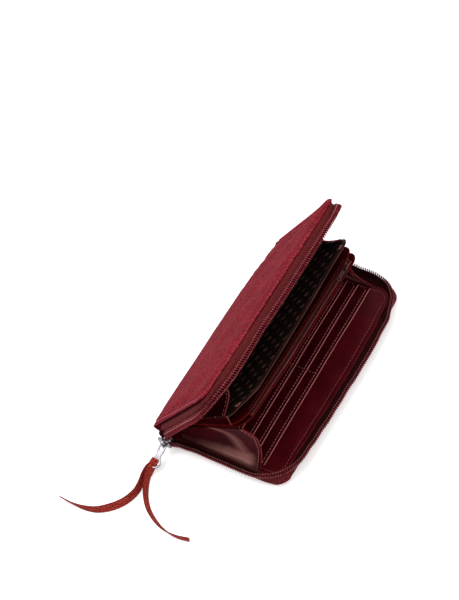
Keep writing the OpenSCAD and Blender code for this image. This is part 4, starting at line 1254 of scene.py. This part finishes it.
    bd.add(np.array(Vv), quads(30, 8, close_b=True) + [tuple(range(8)), tuple(29 * 8 + k for k in range(8))])
    V, F, uv = bd.data()
    done(mesh("coin_zip_slider_metal", leaf(V, OPEN_C), F, uv, M["enamel"], 35), "coin_slider", "painted_metal", "coin_zip_slider")
    out = arc(0.6, 1.7, 0.5, 0, 90, 5) + [(-2, 2.25), (-5, 2.1), (-7.5, 1.7)] + [(-9.5, 1.9)] + arc(-11.8, 0, 2.2, 80, 280, 20) + [(-9.5, -1.9), (-7.5, -1.7), (-5, -2.1), (-2, -2.25)] + arc(0.6, -1.7, 0.5, 270, 360, 5)
    V, F = weld(*curve_plate(out, [rrect(-3.8, 0.35, -1.4, 1.4, 0.6)[::-1], arc(-11.6, 0, 1.05, 0, 345, 20)[::-1]], 0.85, 0.25))
    V = axes(V, (1, 0, 0), (0, 0, 1), (0, 1, 0), (66.2, HW - 88 - 1.95, HT - 1.2))
    done(mesh("coin_zip_pull_plate", leaf(V, OPEN_C), F, V[:, :2], M["enamel"], 35), "coin_pull", "painted_metal", "coin_zip_pull")
    # ---- end stops of the coin zip
    bd = Build()
    for s in (-1, 1):
        V, F = weld(*curve_plate(rrect(-0.7, 0.7, -1.6, 1.6, 0.4), [], 2.4, 0.4))
        V = axes(V, (1, 0, 0), (0, 0, 1), (0, 1, 0), (s * 74.8, HW - 85.9, HT - 1.2))
        bd.add(leaf(V, OPEN_C), F, V[:, :2])
    V, F, uv = bd.data()
    done(mesh("coin_zip_end_stop_crimps", V, F, uv, M["enamel"], 40), "coin_pocket", "painted_metal", "coin_zip_end_stops")


# ------------------------------------------------------------------ front coil's last stretch, into the slider
def zip_tail():
    # rest path of the coil centre: from the front cover's coil end down to the slider mouth
    def end(w, z):
        return leaf(np.array([[-HL - 3.9, HW - w, z]]), OPEN_F)[0]
    p0, p1 = end(15.0, 13.55), end(12.6, 13.55)
    stop = np.array([-HL - 3.7, HW - 3.4, 13.6])
    mid = np.array([-HL - 3.9, HW - 6.6, 16.4])
    P = np.array([p0, p1, p1 * 0.35 + mid * 0.65 + [0, -0.6, 0.3], mid * 0.5 + stop * 0.5, stop])
    for _ in range(3):
        Q = [P[0]]
        for a, b in zip(P[:-1], P[1:]):
            Q += [a * 0.75 + b * 0.25, a * 0.25 + b * 0.75]
        P = np.array(Q + [P[-1]])
    q, s = resample(P, step=0.1)
    T = np.gradient(q, axis=0)
    T /= np.linalg.norm(T, axis=1)[:, None]
    out = np.tile([-1.0, 0, 0], (len(q), 1))
    head = np.cross(T, out)
    head *= np.where(head[:, 1:2] > 0, -1, 1)  # heads point to the free side, away from the spine
    pitch, per = 1.9, 16
    k = np.arange(int(s[-1] // pitch) * per + 1) / per
    f = lambda A: np.stack([np.interp(k * pitch, s, A[:, c]) for c in range(3)], 1)
    a = 2 * math.pi * k
    sup = lambda v, e: np.sign(v) * np.abs(v) ** e
    C, Hd, O = f(q), f(head), f(out)
    sc = np.interp(k * pitch, [0, s[-1]], [1, 0.75])[:, None]
    P = C + O * (0.44 * sup(np.cos(a), 0.6))[:, None] + Hd * (1.72 * sup(np.sin(a), 0.75))[:, None] * sc
    V, F, uv = tube(P, 0.42, 7, up=O)
    ob = mesh("front_zip_tail_coil", V, F, uv, M["coil"], 80)
    polar = lambda V: np.clip((np.hypot(V[:, 1] - HW, V[:, 2] - HT) - 4.5) / 7.0, 0, 1)
    weights(ob, polar(V), "back_cover", "front_cover")
    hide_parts("front_zip_tail")
    # tape beside it, from the coil towards the cover
    n = 30
    qq, _ = resample(q, count=n)
    Tq = np.gradient(qq, axis=0)
    Tq /= np.linalg.norm(Tq, axis=1)[:, None]
    hd = np.cross(Tq, np.tile([-1.0, 0, 0], (n, 1)))
    hd *= np.where(hd[:, 1:2] > 0, -1, 1)
    prof = [(0.9, 1.2), (0.9, -1.5), (0.7, -3.2), (-0.3, -4.6), (-1.6, -5.6), (-1.2, -6.0), (0.3, -4.9), (1.2, -3.3), (1.35, -1.5), (1.35, 1.2)]
    V = []
    for i in range(n):
        k2 = np.interp(i, [0, n - 1], [1, 0.55])
        for o, h in prof:
            V.append(qq[i] + np.array([o, 0, 0]) + hd[i] * h * (k2 if h < 0 else 1))
    V = np.array(V)
    F = quads(n, len(prof), close_b=True)
    uv = np.stack([np.repeat(np.arange(n) * 0.6, len(prof)), np.tile(np.arange(len(prof)) * 1.2, n)], 1)
    tp = mesh("front_zip_tail_tape", V, F, uv, M["tape"], 60)
    weights(tp, polar(V), "back_cover", "front_cover")


# ------------------------------------------------------------------ ribbons
# stations [x, y, z, roll from flat, width] read from the photograph
LEFT = [(-118.4, 50.8, 5.2, 16, 6.0), (-121.2, 51.9, 5.0, 34, 6.6), (-124.8, 53.1, 4.9, 58, 7), (-130.6, 53.5, 4.2, 71, 7), (-137.4, 52.2, 3.8, 71, 7), (-145.3, 52.0, 3.8, 71, 7), (-154.7, 55.6, 3.7, 68, 7),
        (-162.9, 62.5, 3.6, 66, 7), (-169.6, 71.8, 3.8, 76, 7), (-172.6, 82.0, 3.9, 88, 7), (-173.4, 90.6, 3.9, 99, 7), (-173.4, 97.1, 3.9, 102, 7), (-173.2, 102.4, 3.9, 102, 6.6)]
RIGHT = [(-116.6, 50.3, 8.7, 14, 6.0), (-119.4, 50.5, 7.9, 24, 6.4), (-123.2, 50.9, 6.2, 46, 6.9), (-127.0, 50.9, 4.8, 60, 7), (-131.0, 50.3, 4.1, 68, 7), (-138.6, 46.9, 3.8, 71, 7), (-146.6, 41.4, 3.8, 72, 7), (-153.4, 34.2, 3.7, 70, 7),
         (-158.9, 24.3, 3.6, 70, 7), (-161.8, 14.9, 3.7, 74, 7), (-162.5, 4.4, 3.8, 82, 7), (-160.6, -6.6, 3.9, 88, 6.8)]


def catmull(R, n):
    R = np.array(R, float)
    E = np.vstack([2 * R[0] - R[1], R, 2 * R[-1] - R[-2]])
    out = []
    m = len(R) - 1
    for u in np.linspace(0, m - 1e-9, n):
        i = int(u)
        t = u - i
        p0, p1, p2, p3 = E[i:i + 4]
        out.append(0.5 * (2 * p1 + (p2 - p0) * t + (2 * p0 - 5 * p1 + 4 * p2 - p3) * t * t + (3 * p1 - p0 - 3 * p2 + p3) * t ** 3))
    return np.array(out)


def ribbon(name, R, node, exit_, flare):
    n = 240
    Q = catmull(R, n)
    Q, _ = resample(Q, count=n)
    P, roll, wid = Q[:, :3], np.radians(Q[:, 3]), Q[:, 4]
    T = np.gradient(P, axis=0)
    T /= np.linalg.norm(T, axis=1)[:, None]
    S = np.cross([0, 0, 1], T)
    S /= np.linalg.norm(S, axis=1)[:, None]
    U = np.cross(T, S)
    A = -S * np.cos(roll)[:, None] + U * np.sin(roll)[:, None]
    B = np.cross(T, A)
    s = np.concatenate([[0], np.cumsum(np.linalg.norm(np.diff(P, axis=0), axis=1))])
    # cross-section: thin web with corded selvedges
    half = [(-1, 0.0), (-0.985, 0.33), (-0.94, 0.46), (-0.86, 0.36), (-0.5, 0.34), (0, 0.35), (0.5, 0.34), (0.86, 0.36), (0.94, 0.46), (0.985, 0.33), (1, 0.0)]
    ring = half + [(x, -y) for x, y in half[-2:0:-1]]
    V, UV = [], []
    for i in range(n):
        slant = 0.0
        k = s[i] / s[-1]
        cup = 0.25 * math.sin(7 * k + flare)
        for x, y in ring:
            V.append(P[i] + A[i] * x * wid[i] / 2 + B[i] * (y + cup * (x * x - 0.4)) + T[i] * (0.9 * x * max(0, (k - 0.97) / 0.03)))
            UV.append((s[i], x * wid[i] / 2 + (20 if y < 0 else 0)))
    V = np.array(V)
    V[:, 2] = np.maximum(V[:, 2], 0.15)
    m = len(ring)
    F = quads(n, m, close_b=True) + [tuple(range(m)), tuple((n - 1) * m + k for k in range(m))]
    ob = mesh(name, V, F, np.array(UV), M["ribbon"], 60)
    done(ob, "zip_pull", "ribbon_fabric", node)
    ctr = V.reshape(n, m, 3).mean(1) / 1000
    L = float(np.linalg.norm(np.diff(ctr, axis=0), axis=1).sum())
    [float(c) for c in ctr[0]]
    return L


for w in ("back", "front"):
    outer_panel(w)
    lining(w)
    card_pockets(w)
    zip_side(w, HW - 3.5 if w == "back" else HW - 12)
coin_pocket()
slip_panel()
gussets()
spine()
hardware()
zip_tail()
ribbon("ribbon_tail_left_tape", LEFT, "ribbon_tail_left", None, 0.4)
ribbon("ribbon_tail_right_tape", RIGHT, "ribbon_tail_right", None, 2.1)

# ------------------------------------------------------------------ stage, light, camera
sc = bpy.context.scene
fl = Build()
fl.add(np.array([[-3000, -3000, -0.05], [3000, -3000, -0.05], [3000, 3000, -0.05], [-3000, 3000, -0.05]]), [(0, 1, 2, 3)], np.array([[0, 0], [1, 0], [1, 1], [0, 1]]))
mf = Mat("floor_paper")
tone = mf.ramp(mf.noise(mf.obj, 30.0, 2.0, 0.5), [(0.0, G(0.9)), (1.0, G(0.92))])
mf.set(Base_Color=tone, Roughness=0.8, Specular_IOR_Level=0.1, Emission_Color=tone, Emission_Strength=0.4)
floor = mesh("floor", *fl.data(), mf.m, smooth=False)

world = bpy.data.worlds.new("studio")
sc.world = world
world.use_nodes = True
bg = world.node_tree.nodes["Background"]
wt = world.node_tree
gen = wt.nodes.new("ShaderNodeTexCoord")
sx = wt.nodes.new("ShaderNodeSeparateXYZ")
wr = wt.nodes.new("ShaderNodeValToRGB")
wt.links.new(gen.outputs["Generated"], sx.inputs[0])
wt.links.new(sx.outputs[2], wr.inputs[0])
for el, (po, g) in zip((wr.color_ramp.elements[0], wr.color_ramp.elements[1]), ((0.0, 0.5), (0.62, 1.06))):
    el.position, el.color = po, (g, g, g, 1)
mid = wr.color_ramp.elements.new(0.22)
mid.color = (0.62, 0.62, 0.63, 1)
wt.links.new(wr.outputs[0], bg.inputs[0])
bg.inputs[1].default_value = 0.86


def area(name, loc, target, size, power, color=(1, 1, 1)):
    d = bpy.data.lights.new(name, "AREA")
    d.shape, d.size, d.energy, d.color = "DISK", size, power, color
    o = bpy.data.objects.new(name, d)
    sc.collection.objects.link(o)
    o.location = loc
    o.rotation_euler = (Vector(target) - Vector(loc)).to_track_quat("-Z", "Y").to_euler()
    return o


CAM = dict(az=-43.23, el=50.97, roll=-20.28, dist=0.91265, tx=0.04345, ty=-0.04278, f=1183.67)
a, e, r = (math.radians(CAM[k]) for k in ("az", "el", "roll"))
back = Vector((math.sin(a) * math.cos(e), -math.cos(a) * math.cos(e), math.sin(e)))
fwd = -back
right = fwd.cross(Vector((0, 0, 1))).normalized()
up = right.cross(fwd)
Rr = right * math.cos(r) + up * math.sin(r)
Uu = -right * math.sin(r) + up * math.cos(r)
loc = Vector((0, 0, 0.015)) - fwd * CAM["dist"] - Rr * CAM["tx"] - Uu * CAM["ty"]
cd = bpy.data.cameras.new("camera")
cd.lens, cd.sensor_width, cd.sensor_fit = 36 * CAM["f"] / 600, 36, "AUTO"
cd.clip_start, cd.clip_end = 0.01, 50
cam = bpy.data.objects.new("camera", cd)
sc.collection.objects.link(cam)
cam.matrix_world = Matrix(((Rr.x, Uu.x, back.x, loc.x), (Rr.y, Uu.y, back.y, loc.y), (Rr.z, Uu.z, back.z, loc.z), (0, 0, 0, 1)))
sc.camera = cam

# lights placed from the camera's axes: key from upper left, fill from the right
key = loc * 0 + Rr * (-0.75) + Uu * 0.75 + back * 0.75
area("key", key, (0, 0, 0.03), 0.9, 11)
area("fill", Rr * 0.9 + Uu * 0.1 + back * 0.7, (0, 0, 0.03), 1.0, 3.5)
sc.view_settings.view_transform = "Standard"
sc.view_settings.look = "None"
sc.view_settings.exposure = 0.0
